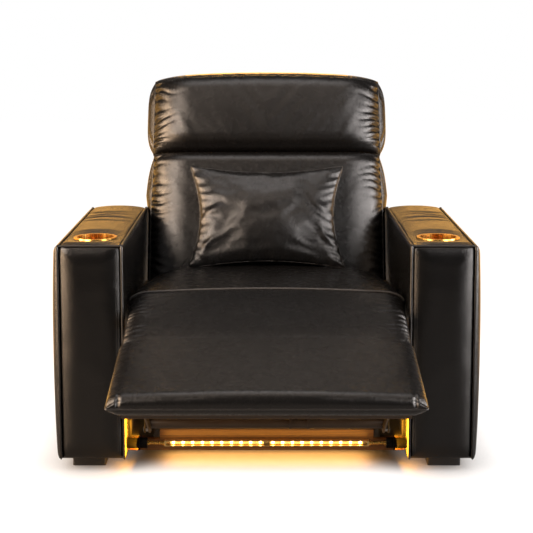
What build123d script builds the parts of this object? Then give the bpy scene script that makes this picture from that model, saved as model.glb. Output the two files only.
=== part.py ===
"""Power recliner for a home cinema: two padded arms with cup holders, a seat that runs on into a lifted
footrest, a reclining back with a tilting headrest, a light bar under the seat and a loose cushion.

Millimetres. X runs to the right as seen from the front, Y to the back, Z up. The origin is on the floor,
under the middle of the whole chair. "Depth" is measured back from the front corners of the arms.
Left and right are as seen from the front. Sizes in the back are measured from its pivot, rearwards and
up along the back; sizes in the footrest from its rear top edge, rearwards and square to its top.
"""

from build123d import *
import os
from math import atan2, cos, degrees, hypot, radians, sin, tan

os.makedirs("parts", exist_ok=True)

# ---------------------------------------------------------------- driving sizes
# Arms
seat_gap = 700.0  # clear width between the arms
arm_width = 173.0  # each arm, corner to corner
arm_length = 790.0
arm_top = 570.0  # height of the armrests above the floor
arm_rear_round = 90.0  # radius over the back of each armrest
inner_pad = 6.0  # padded leather over the frame, on each side
outer_pad = 12.0
end_pad = 14.0
top_pad = 39.0
arm_side_crown = 10.0  # how far the outer side swells
arm_front_crown = 6.0
arm_board = 15.0  # plywood of the arm frame
inner_edge_round = 4.0  # leather edges
outer_edge_round = 9.0

# Feet
foot_height = 31.0
foot_width = 83.0
foot_length = 60.0
foot_from_end = 50.0  # from the ends of the arm
foot_from_side = 33.0  # from the outer corner of the arm
foot_edge = 4.0

# Cup holders
cup_radius = 46.0
cup_wall = 1.5
cup_depth = 75.0
cup_flange_radius = 55.5
cup_flange = 3.0
cup_hole_gap = 0.3
cup_from_front = 133.0  # depth of the cup's centre

# Base between the arms
rail_thickness = 18.0
front_rail_depth = 80.0
front_rail_top = 85.0
front_rail_half = 272.0  # half length of the tall part; the links pass outside it
front_rail_low = 60.0  # height of the ends that reach the arms
rear_rail_depth = 716.0
rear_rail_top = 215.0
angle_leg = 60.0  # steel angles along the arms
angle_upright = 45.0
inlet_radius = 7.0  # power inlet in the rear rail
inlet_flange_radius = 11.0
inlet_flange = 2.0
inlet_length = 30.0
inlet_x = 120.0
inlet_height = 130.0

# Light bar
light_depth = 60.0
light_height = 56.0
light_size = 14.0
light_wall = 1.5
light_end_wall = 4.0
led_count = 10  # on each of the two strips
led_pitch = 24.5
led_gap = 32.0  # between the two strips' first lights
led_size = 5.0
led_height = 2.0
led_board = 1.6
led_board_height = 8.0
led_margin = 8.0  # board beyond its last light
led_end_gap = 9.5  # between the boards and the ends of the bar
stay_radius = 4.0
stay_collar_radius = 6.5
stay_collar = 5.0
socket_radius = 14.0
socket_from = 302.0
socket_disc_radius = 19.0
socket_disc = 3.0
socket_disc_at = 320.0

# Mechanism, in layers of sheet steel from the seat plates inwards
plate_half = 304.0  # outer face of the seat plates
sheet = 4.0
link_gap = 2.0  # between neighbouring layers
link_half_width = 10.0
pin_radius = 5.0
pin_fit = 0.08  # radial clearance of every pin
pin_head_radius = 6.5
pin_head = 1.4
open_pin_fit = 0.3  # radial clearance where a loop of links closes
plate_top = 345.0
plate_bottom = 296.0
plate_front_margin = 24.0  # ahead of the first pivot
plate_leg_width = 80.0
plate_front_leg = 380.0  # depth of its front edge
plate_rear_leg = 575.0
plate_flange = 26.0

# Footrest, lifted: its top slopes down to the front
footrest_slope = 10.0  # degrees
footrest_rear_depth = -145.0  # rear top edge, ahead of the arms
footrest_rear_height = 378.0
footrest_length = 322.0
footrest_thickness = 58.0
footrest_board = 12.0
footrest_board_margin = 30.0  # board inside the pad's outline
footrest_crown = 9.0
footrest_waist = 4.0  # how far the sides draw in
footrest_roll = 26.0  # radius of the front top edge
footrest_folded_depth = -65.0  # its top face, upright in front of the seat
seat_side_gap = 4.0  # between the seat and each arm

# Footrest linkage
link_pivot_height = 325.0
carry_angle = 150.0  # degrees: from the lower pivots to the centre that the footrest turns about
drive_length = 239.0
drive_angle = 234.0  # degrees, lifted
cross_share = 0.737  # where the bent link crosses the drive link
link_spread = 60.0  # between the two pivots on each seat plate
torque_along = 220.0  # torque tube on the drive links
torque_aside = 18.0
torque_radius = 11.0
torque_bore = 9.0
torque_lobe = 14.0
crank_radius = 80.0  # crank pin from the drive links' pivot
bracket_margin = 12.0

# Seat
seat_front_depth = 98.0
seat_rear_depth = 565.0
seat_front_height = 428.0  # at the sides; the crown comes on top
seat_middle_height = 443.0
seat_rear_height = 412.0
seat_crown = 12.0
seat_shoulder = 24.0
seat_frame_height = 20.0
seat_frame_half = 340.0
seat_rail = 38.0
webbing = 3.0
webbing_width = 50.0
seat_straps = 6
bridge_thickness = 38.0
soft_gap = 0.3  # between soft pieces that meet

# Back
back_tilt = 20.0  # degrees from upright
back_seat_gap = 1.0  # between the lower edges of the back and the seat
back_pivot_height = 350.0
back_front = 84.0  # front seams ahead of the pivot
back_rear = 66.0
back_top = 383.0
back_half = 347.0
back_swell = 355.0  # half width where it stands above the arms
back_swell_from = 240.0
back_crown = 24.0
back_edge = 24.0  # rounding of the top edges
back_frame_front = 6.0  # behind the pivot
back_frame_thickness = 36.0
back_frame_bottom = -20.0
back_frame_top = 370.0
back_stile = 30.0
back_rail = 40.0
back_straps = 5
cover_wall = 8.0
pivot_ear = 24.0
pivot_pin_radius = 8.0
slot_half = 9.0  # slots in the padding round the plates of each pivot
slot_top = 32.0
bracket_top = 110.0
recline_range = 38.0  # degrees
recline_crank = 110.0

# Headrest
head_pivot_up = 438.0
head_pivot_front = 32.0
head_nose = 52.0  # radius of its lower edge, round the hinge
head_top = 614.0  # ends of the top edge
head_arch = 24.0  # middle of the top edge above its ends
head_half_low = 349.0
head_half_mid = 362.0
head_half_top = 350.0
head_edge = 34.0
head_corner = 30.0
head_crown = 10.0
head_end_crown = 3.0
head_board_front = -2.0
head_board = 14.0
head_board_half = 290.0
head_board_bottom = 475.0
head_board_top = 580.0
head_arm_at = 150.0  # inner face of the hinge arms
head_arm = 5.0
head_arm_gap = 2.0
head_arm_half_width = 13.0
head_slot_gap = 5.0
leaf_fit = 0.5

# Actuators
actuator_offset = 80.0  # from the middle of the chair
tube_radius = 16.0
tube_bore = 10.0
rod_radius = 9.0
footrest_tube_front = 152.0
footrest_rod_length = 150.0
recline_tube_rear = 588.0
recline_rod_length = 103.0
yoke_thickness = 12.0
yoke_height = 58.0
yoke_length = 30.0
yoke_slot_play = 1.9  # each way along the rod
crank_sheet = 6.0
crank_gap = 3.0  # between the cranks and the tube
crank_pin_radius = 6.0
crank_half_width = 13.0
motor_length = 60.0
motor_width = 52.0
motor_height = 120.0
motor_edge = 10.0
cross_bar_depth = 420.0
cross_bar_size = 30.0
cross_bar_wall = 2.5

# Loose cushion
cushion_width = 424.0
cushion_height = 292.0
cushion_thickness = 118.0
cushion_edge = 14.0
cushion_waist = 22.0  # how far its sides draw in
cushion_lean = 25.0  # degrees from upright
cushion_foot_ahead = 149.5  # its lower edge, ahead of the back's pivot
cushion_foot_above = 22.3  # and above the rear edge of the seat

# Control on the outside of the left arm
control_depth = 215.0
control_height = 430.0
control_length = 96.0
control_width = 40.0
control_flange = 3.0
control_rim = 8.0
control_edge = 5.0
button_radius = 9.0
button_pitch = 36.0
button_gap = 0.3
button_proud = 2.5
button_travel = 2.0
button_floor = 1.5

# ---------------------------------------------------------------- worked-out places
arm_inner = seat_gap / 2
seat_half = arm_inner - seat_side_gap  # half width of the seat and the footrest
back_pivot_depth = seat_rear_depth + back_seat_gap + back_front
led_last = led_gap / 2 + (led_count - 1) * led_pitch
light_half_length = led_last + led_margin + led_end_gap + light_end_wall
arm_outer = arm_inner + arm_width
inner_seam = arm_inner + inner_pad
outer_seam = arm_outer - outer_pad
cup_x = (inner_seam + outer_seam) / 2
frame_top = arm_top - top_pad
rear_round_frame = arm_rear_round - end_pad
foot_x = arm_outer - foot_from_side - foot_width / 2

footrest_front = footrest_rear_depth - footrest_length * cos(radians(footrest_slope))
head_rear = head_nose - head_pivot_front
chair_rear = back_pivot_depth + head_top * sin(radians(back_tilt)) + head_rear * cos(radians(back_tilt))
arm_front_y = -(footrest_front + chair_rear) / 2


def turned(length, angle):
    """Step of a given length in a direction given in degrees, in a side view."""
    return length * cos(radians(angle)), length * sin(radians(angle))


def added(*steps):
    return sum(step[0] for step in steps), sum(step[1] for step in steps)


# The footrest turns about a centre in the air ahead of the arms. Two parallelograms carry it round.
fold_angle = 90.0 - footrest_slope
folded_shift = footrest_folded_depth - footrest_rear_depth
fold_centre = (
    footrest_rear_depth + folded_shift / 2,
    footrest_rear_height + folded_shift / 2 / tan(radians(fold_angle / 2)),
)
carry_length = (fold_centre[1] - link_pivot_height) / sin(radians(carry_angle))
carry = turned(carry_length, carry_angle)
spread = turned(link_spread, drive_angle + fold_angle / 2 + 90)
pivot_a = (fold_centre[0] - carry[0], link_pivot_height)
pivot_rear = added(pivot_a, spread)
pivot_b = added(pivot_a, turned(drive_length, drive_angle))
pivot_e = added(pivot_a, turned(drive_length * cross_share, drive_angle))
pivot_d = added(pivot_e, spread)
pivot_c = added(pivot_b, carry)
pivot_c_upper = added(pivot_e, carry)
torque_base = added(pivot_a, turned(torque_along, drive_angle))
torque_centre = added(torque_base, turned(torque_aside, drive_angle + 90))
crank_pin = added(pivot_a, turned(crank_radius, 270.0 - fold_angle / 2))

# Outer faces of the layers of the linkage
layer = sheet + link_gap
drive_outer = plate_half - layer
cross_outer = drive_outer - layer
lower_outer = cross_outer - layer
bracket_outer = lower_outer - layer
back_frame_half = drive_outer - sheet

# Back and headrest
frame_rear = back_frame_front + back_frame_thickness
head_pivot = (-head_pivot_front, head_pivot_up)
head_front = head_pivot_front + head_nose
leaf_inner = head_arm_at + head_arm + head_arm_gap

# Seat heights
seat_frame_top = plate_top + seat_frame_height
seat_bottom = seat_frame_top + webbing
back_seam = back_frame_front - webbing

# Actuator axes: each crank pin swings evenly to both sides of the lowest point of its circle
footrest_rod_height = link_pivot_height - crank_radius * (1 + cos(radians(fold_angle / 2))) / 2
recline_rod_height = back_pivot_height - recline_crank * (1 + cos(radians(recline_range / 2))) / 2
recline_pin = added(
    (back_pivot_depth, back_pivot_height), turned(recline_crank, 270.0 + recline_range / 2)
)
cranks_inner = tube_radius + crank_gap
cranks_outer = cranks_inner + crank_sheet
bar_front = cross_bar_depth - cross_bar_size / 2
bar_rear = cross_bar_depth + cross_bar_size / 2
footrest_tube_rear = bar_front - motor_length
recline_tube_front = bar_rear + motor_length

# ---------------------------------------------------------------- frames of reference


def y_at(depth):
    """Y of a depth behind the front corners of the arms."""
    return arm_front_y + depth


def side_plane(x):
    """Seen from the side: first axis is depth, second is height."""
    return Plane(origin=(x, arm_front_y, 0), x_dir=(0, 1, 0), z_dir=(1, 0, 0))


def front_plane(depth):
    """Seen from the front: X and height. Its normal points to the front."""
    return Plane(origin=(0, y_at(depth), 0), x_dir=(1, 0, 0), z_dir=(0, -1, 0))


def back_plane(x):
    """Side view in the tilted back: rearwards, and up along the back."""
    tilt = radians(back_tilt)
    origin = (x, y_at(back_pivot_depth), back_pivot_height)
    return Plane(origin=origin, x_dir=(0, cos(tilt), -sin(tilt)), z_dir=(1, 0, 0))


def back_face_plane(behind):
    """Front view in the tilted back: X, and up along the back. Its normal points to the front."""
    tilt = radians(back_tilt)
    rearwards = Vector(0, cos(tilt), -sin(tilt))
    origin = Vector(0, y_at(back_pivot_depth), back_pivot_height) + rearwards * behind
    return Plane(origin=origin, x_dir=(1, 0, 0), z_dir=rearwards * -1)


def back_cross_plane(up):
    """Cut across the tilted back: X, and towards the front."""
    tilt = radians(back_tilt)
    upwards = Vector(0, sin(tilt), cos(tilt))
    origin = Vector(0, y_at(back_pivot_depth), back_pivot_height) + upwards * up
    return Plane(origin=origin, x_dir=(1, 0, 0), z_dir=upwards * -1)


def footrest_plane(x):
    """Side view in the lifted footrest: rearwards along it, and square to its top."""
    slope = radians(footrest_slope)
    origin = (x, y_at(footrest_rear_depth), footrest_rear_height)
    return Plane(origin=origin, x_dir=(0, cos(slope), sin(slope)), z_dir=(1, 0, 0))


def footrest_cross_plane(behind):
    """Cut across the lifted footrest: X, and square to its top. Its normal points to the front."""
    slope = radians(footrest_slope)
    rearwards = Vector(0, cos(slope), sin(slope))
    origin = Vector(0, y_at(footrest_rear_depth), footrest_rear_height) + rearwards * behind
    return Plane(origin=origin, x_dir=(1, 0, 0), z_dir=rearwards * -1)


def in_footrest(point):
    """A point of the chair's side view, in the lifted footrest's own side view."""
    slope = radians(footrest_slope)
    depth, height = point[0] - footrest_rear_depth, point[1] - footrest_rear_height
    return depth * cos(slope) + height * sin(slope), height * cos(slope) - depth * sin(slope)


def in_back(point):
    """A point of the chair's side view, in the back's own side view."""
    tilt = radians(back_tilt)
    depth, height = point[0] - back_pivot_depth, point[1] - back_pivot_height
    return depth * cos(tilt) - height * sin(tilt), depth * sin(tilt) + height * cos(tilt)


def save(piece, label):
    piece.part.label = label
    export_step(piece.part, f"parts/{label}.step")


# ---------------------------------------------------------------- shapes used more than once


def box_between(low, high, mode=Mode.ADD):
    """Rectangle between two corners of the current sketch."""
    with Locations(((low[0] + high[0]) / 2, (low[1] + high[1]) / 2)):
        Rectangle(high[0] - low[0], high[1] - low[1], mode=mode)


def bar_between(start, end, half_width):
    """Flat bar with round ends, between two points of the current sketch."""
    run, rise = end[0] - start[0], end[1] - start[1]
    with Locations(((start[0] + end[0]) / 2, (start[1] + end[1]) / 2)):
        SlotCenterToCenter(hypot(run, rise), 2 * half_width, rotation=degrees(atan2(rise, run)))


def holes_at(points, radius):
    with Locations(*points):
        Circle(radius, mode=Mode.SUBTRACT)


def crowned_face(half, base, edge, crown, shoulder):
    """Cross section of a pad: flat base, upright sides, round shoulders and a crowned top."""
    cut = shoulder * (1 - cos(radians(45)))
    with BuildLine() as outline:
        Polyline((-half, edge - shoulder), (-half, base), (half, base), (half, edge - shoulder))
        ThreePointArc((half, edge - shoulder), (half - cut, edge - cut), (half - shoulder, edge))
        ThreePointArc((half - shoulder, edge), (0, edge + crown), (shoulder - half, edge))
        ThreePointArc((shoulder - half, edge), (cut - half, edge - cut), (-half, edge - shoulder))
    make_face(outline.edges())


def add_pins(points, outer, inner, radius=pin_radius, spacer=None):
    """Riveted pins through the layers on both sides of the chair, from an outer face to an inner one."""
    head = radius + pin_head_radius - pin_radius
    steps = [(outer + pin_head, pin_head, head), (outer, outer - inner, radius), (inner, pin_head, head)]
    if spacer:
        steps.append((spacer[0], spacer[0] - spacer[1], pin_head_radius))
    for sign in (-1, 1):
        for start, length, size in steps:
            with BuildSketch(side_plane(sign * start)) as section:
                with Locations(*points):
                    Circle(size)
            extrude(section.sketch, amount=-sign * length)



# ---------------------------------------------------------------- arms


def arm_outline(front, rear, top, bottom, corner, mode=Mode.ADD):
    """Side outline of an arm, or of what is inside it, with a round rear top corner."""
    cut = corner * (1 - cos(radians(45)))
    with BuildLine() as outline:
        Polyline((rear - corner, top), (front, top), (front, bottom), (rear, bottom), (rear, top - corner))
        ThreePointArc((rear, top - corner), (rear - cut, top - cut), (rear - corner, top))
    make_face(outline.edges(), mode=mode)


def frame_outline(inset, mode=Mode.ADD):
    """Side outline of the arm's frame, or of the space a board's thickness inside it."""
    arm_outline(end_pad + inset, arm_length - end_pad - inset, frame_top - inset, foot_height + inset,
                rear_round_frame - inset, mode)


def make_arm_frame(sign):
    with BuildPart() as frame:
        with BuildSketch(side_plane(sign * inner_seam)):
            frame_outline(0)
        extrude(amount=sign * (outer_seam - inner_seam))
        with BuildSketch(side_plane(sign * (inner_seam + arm_board))):
            frame_outline(arm_board)
        extrude(amount=sign * (outer_seam - inner_seam - 2 * arm_board), mode=Mode.SUBTRACT)
        with BuildSketch(Plane.XY.offset(frame_top)):
            with Locations((sign * cup_x, y_at(cup_from_front))):
                Circle(cup_radius + cup_wall + cup_hole_gap)
        extrude(amount=-2 * arm_board, mode=Mode.SUBTRACT)
    return frame


def make_inner_panel(sign):
    with BuildPart() as panel:
        with BuildSketch(side_plane(sign * arm_inner)):
            arm_outline(0, arm_length, arm_top, foot_height, arm_rear_round)
        extrude(amount=sign * inner_pad)
        fillet(panel.faces().sort_by(Axis.X)[0 if sign > 0 else -1].edges(), inner_edge_round)
    return panel


def make_outer_panel(sign):
    middle = (arm_top + foot_height) / 2
    with BuildPart() as panel:
        with BuildSketch(front_plane(0)):
            with BuildLine():
                Polyline((sign * arm_outer, arm_top), (sign * outer_seam, arm_top),
                         (sign * outer_seam, foot_height), (sign * arm_outer, foot_height))
                ThreePointArc((sign * arm_outer, foot_height),
                              (sign * (arm_outer + arm_side_crown), middle), (sign * arm_outer, arm_top))
            make_face()
        extrude(amount=-arm_length)
        with BuildSketch(side_plane(0)):
            arm_outline(0, arm_length, arm_top, foot_height, arm_rear_round)
        extrude(amount=sign * (arm_outer + 2 * arm_side_crown), mode=Mode.INTERSECT)
        fillet(panel.faces().sort_by(Axis.X)[-1 if sign > 0 else 0].edges(), outer_edge_round)
        if sign < 0:
            with BuildSketch(side_plane(-outer_seam)):
                with Locations((control_depth, control_height)):
                    Rectangle(control_length - 2 * control_rim, control_width - 2 * control_rim)
            extrude(amount=-2 * outer_pad - arm_side_crown, mode=Mode.SUBTRACT)
    return panel


def make_front_panel(sign):
    inner, outer = sign * inner_seam, sign * outer_seam
    with BuildPart() as panel:
        with BuildSketch(Plane.XY.offset(foot_height)):
            with BuildLine():
                Polyline((inner, y_at(0)), (inner, y_at(end_pad)), (outer, y_at(end_pad)), (outer, y_at(0)))
                ThreePointArc((outer, y_at(0)), ((inner + outer) / 2, y_at(-arm_front_crown)),
                              (inner, y_at(0)))
            make_face()
        extrude(amount=arm_top - foot_height)
    return panel


def make_top_pad(sign):
    """Padding over the top of the arm's frame and, as a piece of its own, down its back."""
    with BuildPart() as pad:
        with BuildSketch(side_plane(sign * inner_seam)):
            arm_outline(end_pad, arm_length, arm_top, foot_height, arm_rear_round)
            frame_outline(0, mode=Mode.SUBTRACT)
        extrude(amount=sign * (outer_seam - inner_seam))
        with BuildSketch(Plane.XY.offset(frame_top)):
            with Locations((sign * cup_x, y_at(cup_from_front))):
                Circle(cup_radius + cup_wall + cup_hole_gap)
        extrude(amount=top_pad, mode=Mode.SUBTRACT)
        with BuildSketch(Plane.XY.offset(frame_top - soft_gap)):
            with Locations((sign * cup_x, y_at(arm_length))):
                Rectangle(arm_width, 2 * arm_rear_round)
        extrude(amount=soft_gap, mode=Mode.SUBTRACT)
    return pad


def make_cup_holder(sign):
    outside = cup_radius + cup_wall
    with BuildPart() as cup:
        centre = (sign * cup_x, y_at(cup_from_front), arm_top)
        with BuildSketch(Plane(origin=centre, x_dir=(1, 0, 0), z_dir=(0, -1, 0))):
            with BuildLine():
                Polyline((0, -cup_depth), (outside, -cup_depth), (outside, 0), (cup_flange_radius, 0),
                         (cup_flange_radius - cup_flange / 2, cup_flange), (cup_radius, cup_flange),
                         (cup_radius, cup_wall - cup_depth), (0, cup_wall - cup_depth), (0, -cup_depth))
            make_face()
        revolve(axis=Axis(centre, (0, 0, 1)))
    return cup


def make_feet():
    with BuildPart() as feet:
        with BuildSketch(Plane.XY):
            for sign in (-1, 1):
                for depth in (foot_from_end + foot_length / 2, arm_length - foot_from_end - foot_length / 2):
                    with Locations((sign * foot_x, y_at(depth))):
                        Rectangle(foot_width, foot_length)
        extrude(amount=foot_height)
        fillet(feet.edges().filter_by(Axis.Z), foot_edge)
    return feet


for side, side_sign in (("left", -1), ("right", 1)):
    save(make_arm_frame(side_sign), f"{side}_arm_frame")
    save(make_inner_panel(side_sign), f"{side}_arm_inner_panel")
    save(make_outer_panel(side_sign), f"{side}_arm_outer_panel")
    save(make_front_panel(side_sign), f"{side}_arm_front_panel")
    save(make_top_pad(side_sign), f"{side}_arm_top_pad")
    save(make_cup_holder(side_sign), f"{side}_cup_holder")
save(make_feet(), "feet")

# ---------------------------------------------------------------- control on the left arm
control_face = arm_outer + arm_side_crown
button_depths = [control_depth - button_pitch / 2, control_depth + button_pitch / 2]

with BuildPart() as control_bezel:
    with BuildSketch(side_plane(-outer_seam)):
        with Locations((control_depth, control_height)):
            Rectangle(control_length - 2 * control_rim, control_width - 2 * control_rim)
    extrude(amount=outer_seam - control_face)
    with BuildSketch(side_plane(-control_face)):
        with Locations((control_depth, control_height)):
            RectangleRounded(control_length, control_width, control_edge)
    extrude(amount=-control_flange)
    fillet(control_bezel.faces().sort_by(Axis.X)[0].edges(), control_flange / 3)
    with BuildSketch(side_plane(-control_face - control_flange)):
        with Locations(*[(depth, control_height) for depth in button_depths]):
            Circle(button_radius + button_gap)
    extrude(amount=control_face + control_flange - outer_seam - button_floor, mode=Mode.SUBTRACT)
save(control_bezel, "control_bezel")

button_inner = outer_seam + button_floor + button_travel + button_gap
button_outer = control_face + control_flange + button_proud
for button_name, button_depth in zip(("footrest_button", "recline_button"), button_depths):
    with BuildPart() as button:
        with BuildSketch(side_plane(-button_inner)):
            with Locations((button_depth, control_height)):
                Circle(button_radius)
        extrude(amount=button_inner - button_outer)
        fillet(button.faces().sort_by(Axis.X)[0].edges(), control_flange / 3)
    save(button, button_name)

# ---------------------------------------------------------------- base
with BuildPart() as front_rail:
    with BuildSketch(front_plane(front_rail_depth)):
        box_between((-arm_inner, foot_height), (arm_inner, front_rail_low))
        box_between((-front_rail_half, foot_height), (front_rail_half, front_rail_top))
    extrude(amount=-rail_thickness)
save(front_rail, "front_rail")

with BuildPart() as rear_rail:
    with BuildSketch(front_plane(rear_rail_depth)):
        box_between((-arm_inner, foot_height), (arm_inner, rear_rail_top))
        holes_at([(inlet_x, inlet_height)], inlet_radius + cup_hole_gap)
    extrude(amount=-rail_thickness)
save(rear_rail, "rear_rail")

with BuildPart() as power_inlet:
    with BuildSketch(front_plane(rear_rail_depth + rail_thickness + inlet_flange)):
        with Locations((inlet_x, inlet_height)):
            Circle(inlet_flange_radius)
            Circle(inlet_radius / 2, mode=Mode.SUBTRACT)
    extrude(amount=inlet_flange)
    with BuildSketch(front_plane(rear_rail_depth + rail_thickness)):
        with Locations((inlet_x, inlet_height)):
            Circle(inlet_radius)
            Circle(inlet_radius / 2, mode=Mode.SUBTRACT)
    extrude(amount=rail_thickness)
    with BuildSketch(front_plane(rear_rail_depth)):
        with Locations((inlet_x, inlet_height)):
            Circle(inlet_radius)
    extrude(amount=inlet_length - rail_thickness)
save(power_inlet, "power_inlet")

with BuildPart() as base_angles:
    for sign in (-1, 1):
        wall = sign * arm_inner
        with BuildSketch(front_plane(front_rail_depth + rail_thickness)):
            with BuildLine():
                Polyline((wall, front_rail_low), (wall - sign * angle_leg, front_rail_low),
                         (wall - sign * angle_leg, front_rail_low + sheet),
                         (wall - sign * sheet, front_rail_low + sheet),
                         (wall - sign * sheet, front_rail_low + angle_upright),
                         (wall, front_rail_low + angle_upright), (wall, front_rail_low))
            make_face()
        extrude(amount=front_rail_depth + rail_thickness - rear_rail_depth)
save(base_angles, "base_angles")

# ---------------------------------------------------------------- light bar
light_back = light_depth + light_size / 2
with BuildPart() as light_channel:
    with BuildSketch(front_plane(light_back)):
        with Locations((0, light_height)):
            Rectangle(2 * light_half_length, light_size)
    extrude(amount=light_size)
    with BuildSketch(front_plane(light_back - light_wall)):
        with Locations((0, light_height)):
            Rectangle(2 * (light_half_length - light_end_wall), light_size - 2 * light_wall)
    extrude(amount=light_size, mode=Mode.SUBTRACT)
save(light_channel, "light_channel")

led_places = [(sign * (led_gap / 2 + step * led_pitch), light_height)
              for sign in (-1, 1) for step in range(led_count)]
with BuildPart() as light_boards:
    with BuildSketch(front_plane(light_back - light_wall)):
        for sign in (-1, 1):
            board_ends = (sign * (led_gap / 2 - led_margin), sign * (led_last + led_margin))
            with Locations((sum(board_ends) / 2, light_height)):
                Rectangle(abs(board_ends[1] - board_ends[0]), led_board_height)
    extrude(amount=led_board)
save(light_boards, "light_boards")

with BuildPart() as light_leds:
    with BuildSketch(front_plane(light_back - light_wall - led_board)):
        with Locations(*led_places):
            Rectangle(led_size, led_size)
    extrude(amount=led_height)
save(light_leds, "light_leds")

with BuildPart() as light_stays:
    for sign in (-1, 1):
        for start, length, size in (
            (light_half_length, socket_from - light_half_length, stay_radius),
            (light_half_length, stay_collar, stay_collar_radius),
            (socket_from - stay_collar, stay_collar, stay_collar_radius),
        ):
            with BuildSketch(side_plane(sign * start)):
                with Locations((light_depth, light_height)):
                    Circle(size)
            extrude(amount=sign * length)
save(light_stays, "light_stays")

with BuildPart() as light_sockets:
    for sign in (-1, 1):
        for start, length, size in (
            (socket_from, arm_inner - socket_from, socket_radius),
            (socket_disc_at, socket_disc, socket_disc_radius),
        ):
            with BuildSketch(side_plane(sign * start)):
                with Locations((light_depth, light_height)):
                    Circle(size)
            extrude(amount=sign * length)
save(light_sockets, "light_sockets")

# ---------------------------------------------------------------- seat plates and their pins
back_pivot = (back_pivot_depth, back_pivot_height)
plate_foot = front_rail_low + sheet

with BuildPart() as seat_plates:
    for sign in (-1, 1):
        with BuildSketch(side_plane(sign * plate_half)):
            box_between((pivot_a[0] - plate_front_margin, plate_bottom), (back_pivot_depth, plate_top))
            for leg in (plate_front_leg, plate_rear_leg):
                box_between((leg, plate_foot), (leg + plate_leg_width, plate_bottom))
            with Locations(back_pivot):
                Circle(pivot_ear)
            holes_at([pivot_a, pivot_rear], pin_radius + pin_fit)
            holes_at([back_pivot], pivot_pin_radius + pin_fit)
        extrude(amount=-sign * sheet)
        with BuildSketch(side_plane(sign * plate_half)):
            box_between((seat_front_depth, plate_top - sheet), (seat_rear_depth, plate_top))
        extrude(amount=sign * plate_flange)
save(seat_plates, "seat_plates")

with BuildPart() as seat_plate_pins:
    add_pins([pivot_a, pivot_rear], plate_half, drive_outer - sheet)
    add_pins([back_pivot], plate_half, drive_outer - sheet, radius=pivot_pin_radius)
save(seat_plate_pins, "seat_plate_pins")

# ---------------------------------------------------------------- footrest linkage
with BuildPart() as drive_links:
    for sign in (-1, 1):
        with BuildSketch(side_plane(sign * drive_outer)):
            bar_between(pivot_a, pivot_b, link_half_width)
            bar_between(torque_base, torque_centre, torque_lobe)
            holes_at([pivot_a, pivot_e, pivot_b], pin_radius + pin_fit)
        extrude(amount=-sign * sheet)
save(drive_links, "footrest_drive_links")

with BuildPart() as torque_tube:
    with BuildSketch(side_plane(sheet - drive_outer)):
        with Locations(torque_centre):
            Circle(torque_radius)
    extrude(amount=2 * (drive_outer - sheet))
    for sign in (-1, 1):
        with BuildSketch(side_plane(actuator_offset + sign * cranks_inner)):
            bar_between(torque_centre, crank_pin, crank_half_width)
        extrude(amount=sign * crank_sheet)
    with BuildSketch(side_plane(actuator_offset - cranks_inner)):
        with Locations(crank_pin):
            Circle(crank_pin_radius)
    extrude(amount=2 * cranks_inner)
    with BuildSketch(side_plane(sheet - drive_outer)):
        with Locations(torque_centre):
            Circle(torque_bore)
    extrude(amount=2 * (drive_outer - sheet), mode=Mode.SUBTRACT)
save(torque_tube, "footrest_torque_tube")

with BuildPart() as rear_links:
    for sign in (-1, 1):
        with BuildSketch(side_plane(sign * drive_outer)):
            bar_between(pivot_rear, pivot_d, link_half_width)
            holes_at([pivot_rear], pin_radius + pin_fit)
            holes_at([pivot_d], pin_radius + open_pin_fit)
        extrude(amount=-sign * sheet)
save(rear_links, "footrest_rear_links")

with BuildPart() as cross_links:
    for sign in (-1, 1):
        with BuildSketch(side_plane(sign * cross_outer)):
            bar_between(pivot_d, pivot_e, link_half_width)
            bar_between(pivot_e, pivot_c_upper, link_half_width)
            holes_at([pivot_d, pivot_e], pin_radius + pin_fit)
            holes_at([pivot_c_upper], pin_radius + open_pin_fit)
        extrude(amount=-sign * sheet)
save(cross_links, "footrest_cross_links")

with BuildPart() as lower_links:
    for sign in (-1, 1):
        with BuildSketch(side_plane(sign * lower_outer)):
            bar_between(pivot_b, pivot_c, link_half_width)
            holes_at([pivot_b, pivot_c], pin_radius + pin_fit)
        extrude(amount=-sign * sheet)
save(lower_links, "footrest_lower_links")

board_top = -footrest_thickness
board_under = board_top - footrest_board
with BuildPart() as footrest_brackets:
    for sign in (-1, 1):
        lower, upper = in_footrest(pivot_c), in_footrest(pivot_c_upper)
        with BuildSketch(footrest_plane(sign * bracket_outer)):
            bar_between(lower, upper, bracket_margin)
            box_between((lower[0] - bracket_margin, upper[1]), (upper[0] + bracket_margin, board_under))
            with BuildLine():
                Polyline((lower[0] - bracket_margin, lower[1]), (lower[0] + bracket_margin, lower[1]),
                         (upper[0] + bracket_margin, upper[1]), (lower[0] - bracket_margin, upper[1]),
                         (lower[0] - bracket_margin, lower[1]))
            make_face()
            holes_at([lower, upper], pin_radius + pin_fit)
        extrude(amount=-sign * sheet)
save(footrest_brackets, "footrest_brackets")

with BuildPart() as drive_link_pins:
    add_pins([pivot_e], drive_outer, cross_outer - sheet)
    add_pins([pivot_b], drive_outer, lower_outer - sheet, spacer=(drive_outer - sheet, lower_outer))
save(drive_link_pins, "drive_link_pins")

with BuildPart() as cross_link_pins:
    add_pins([pivot_d], drive_outer, cross_outer - sheet)
save(cross_link_pins, "cross_link_pins")

with BuildPart() as footrest_bracket_pins:
    add_pins([pivot_c], lower_outer, bracket_outer - sheet)
    add_pins([pivot_c_upper], cross_outer, bracket_outer - sheet,
             spacer=(cross_outer - sheet, bracket_outer))
save(footrest_bracket_pins, "footrest_bracket_pins")

# ---------------------------------------------------------------- footrest
with BuildPart() as footrest_board_part:
    with BuildSketch(footrest_plane(0)):
        box_between((footrest_board_margin - footrest_length, board_under),
                    (-footrest_board_margin, board_top))
    extrude(amount=seat_half - footrest_board_margin, both=True)
save(footrest_board_part, "footrest_board")

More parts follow.
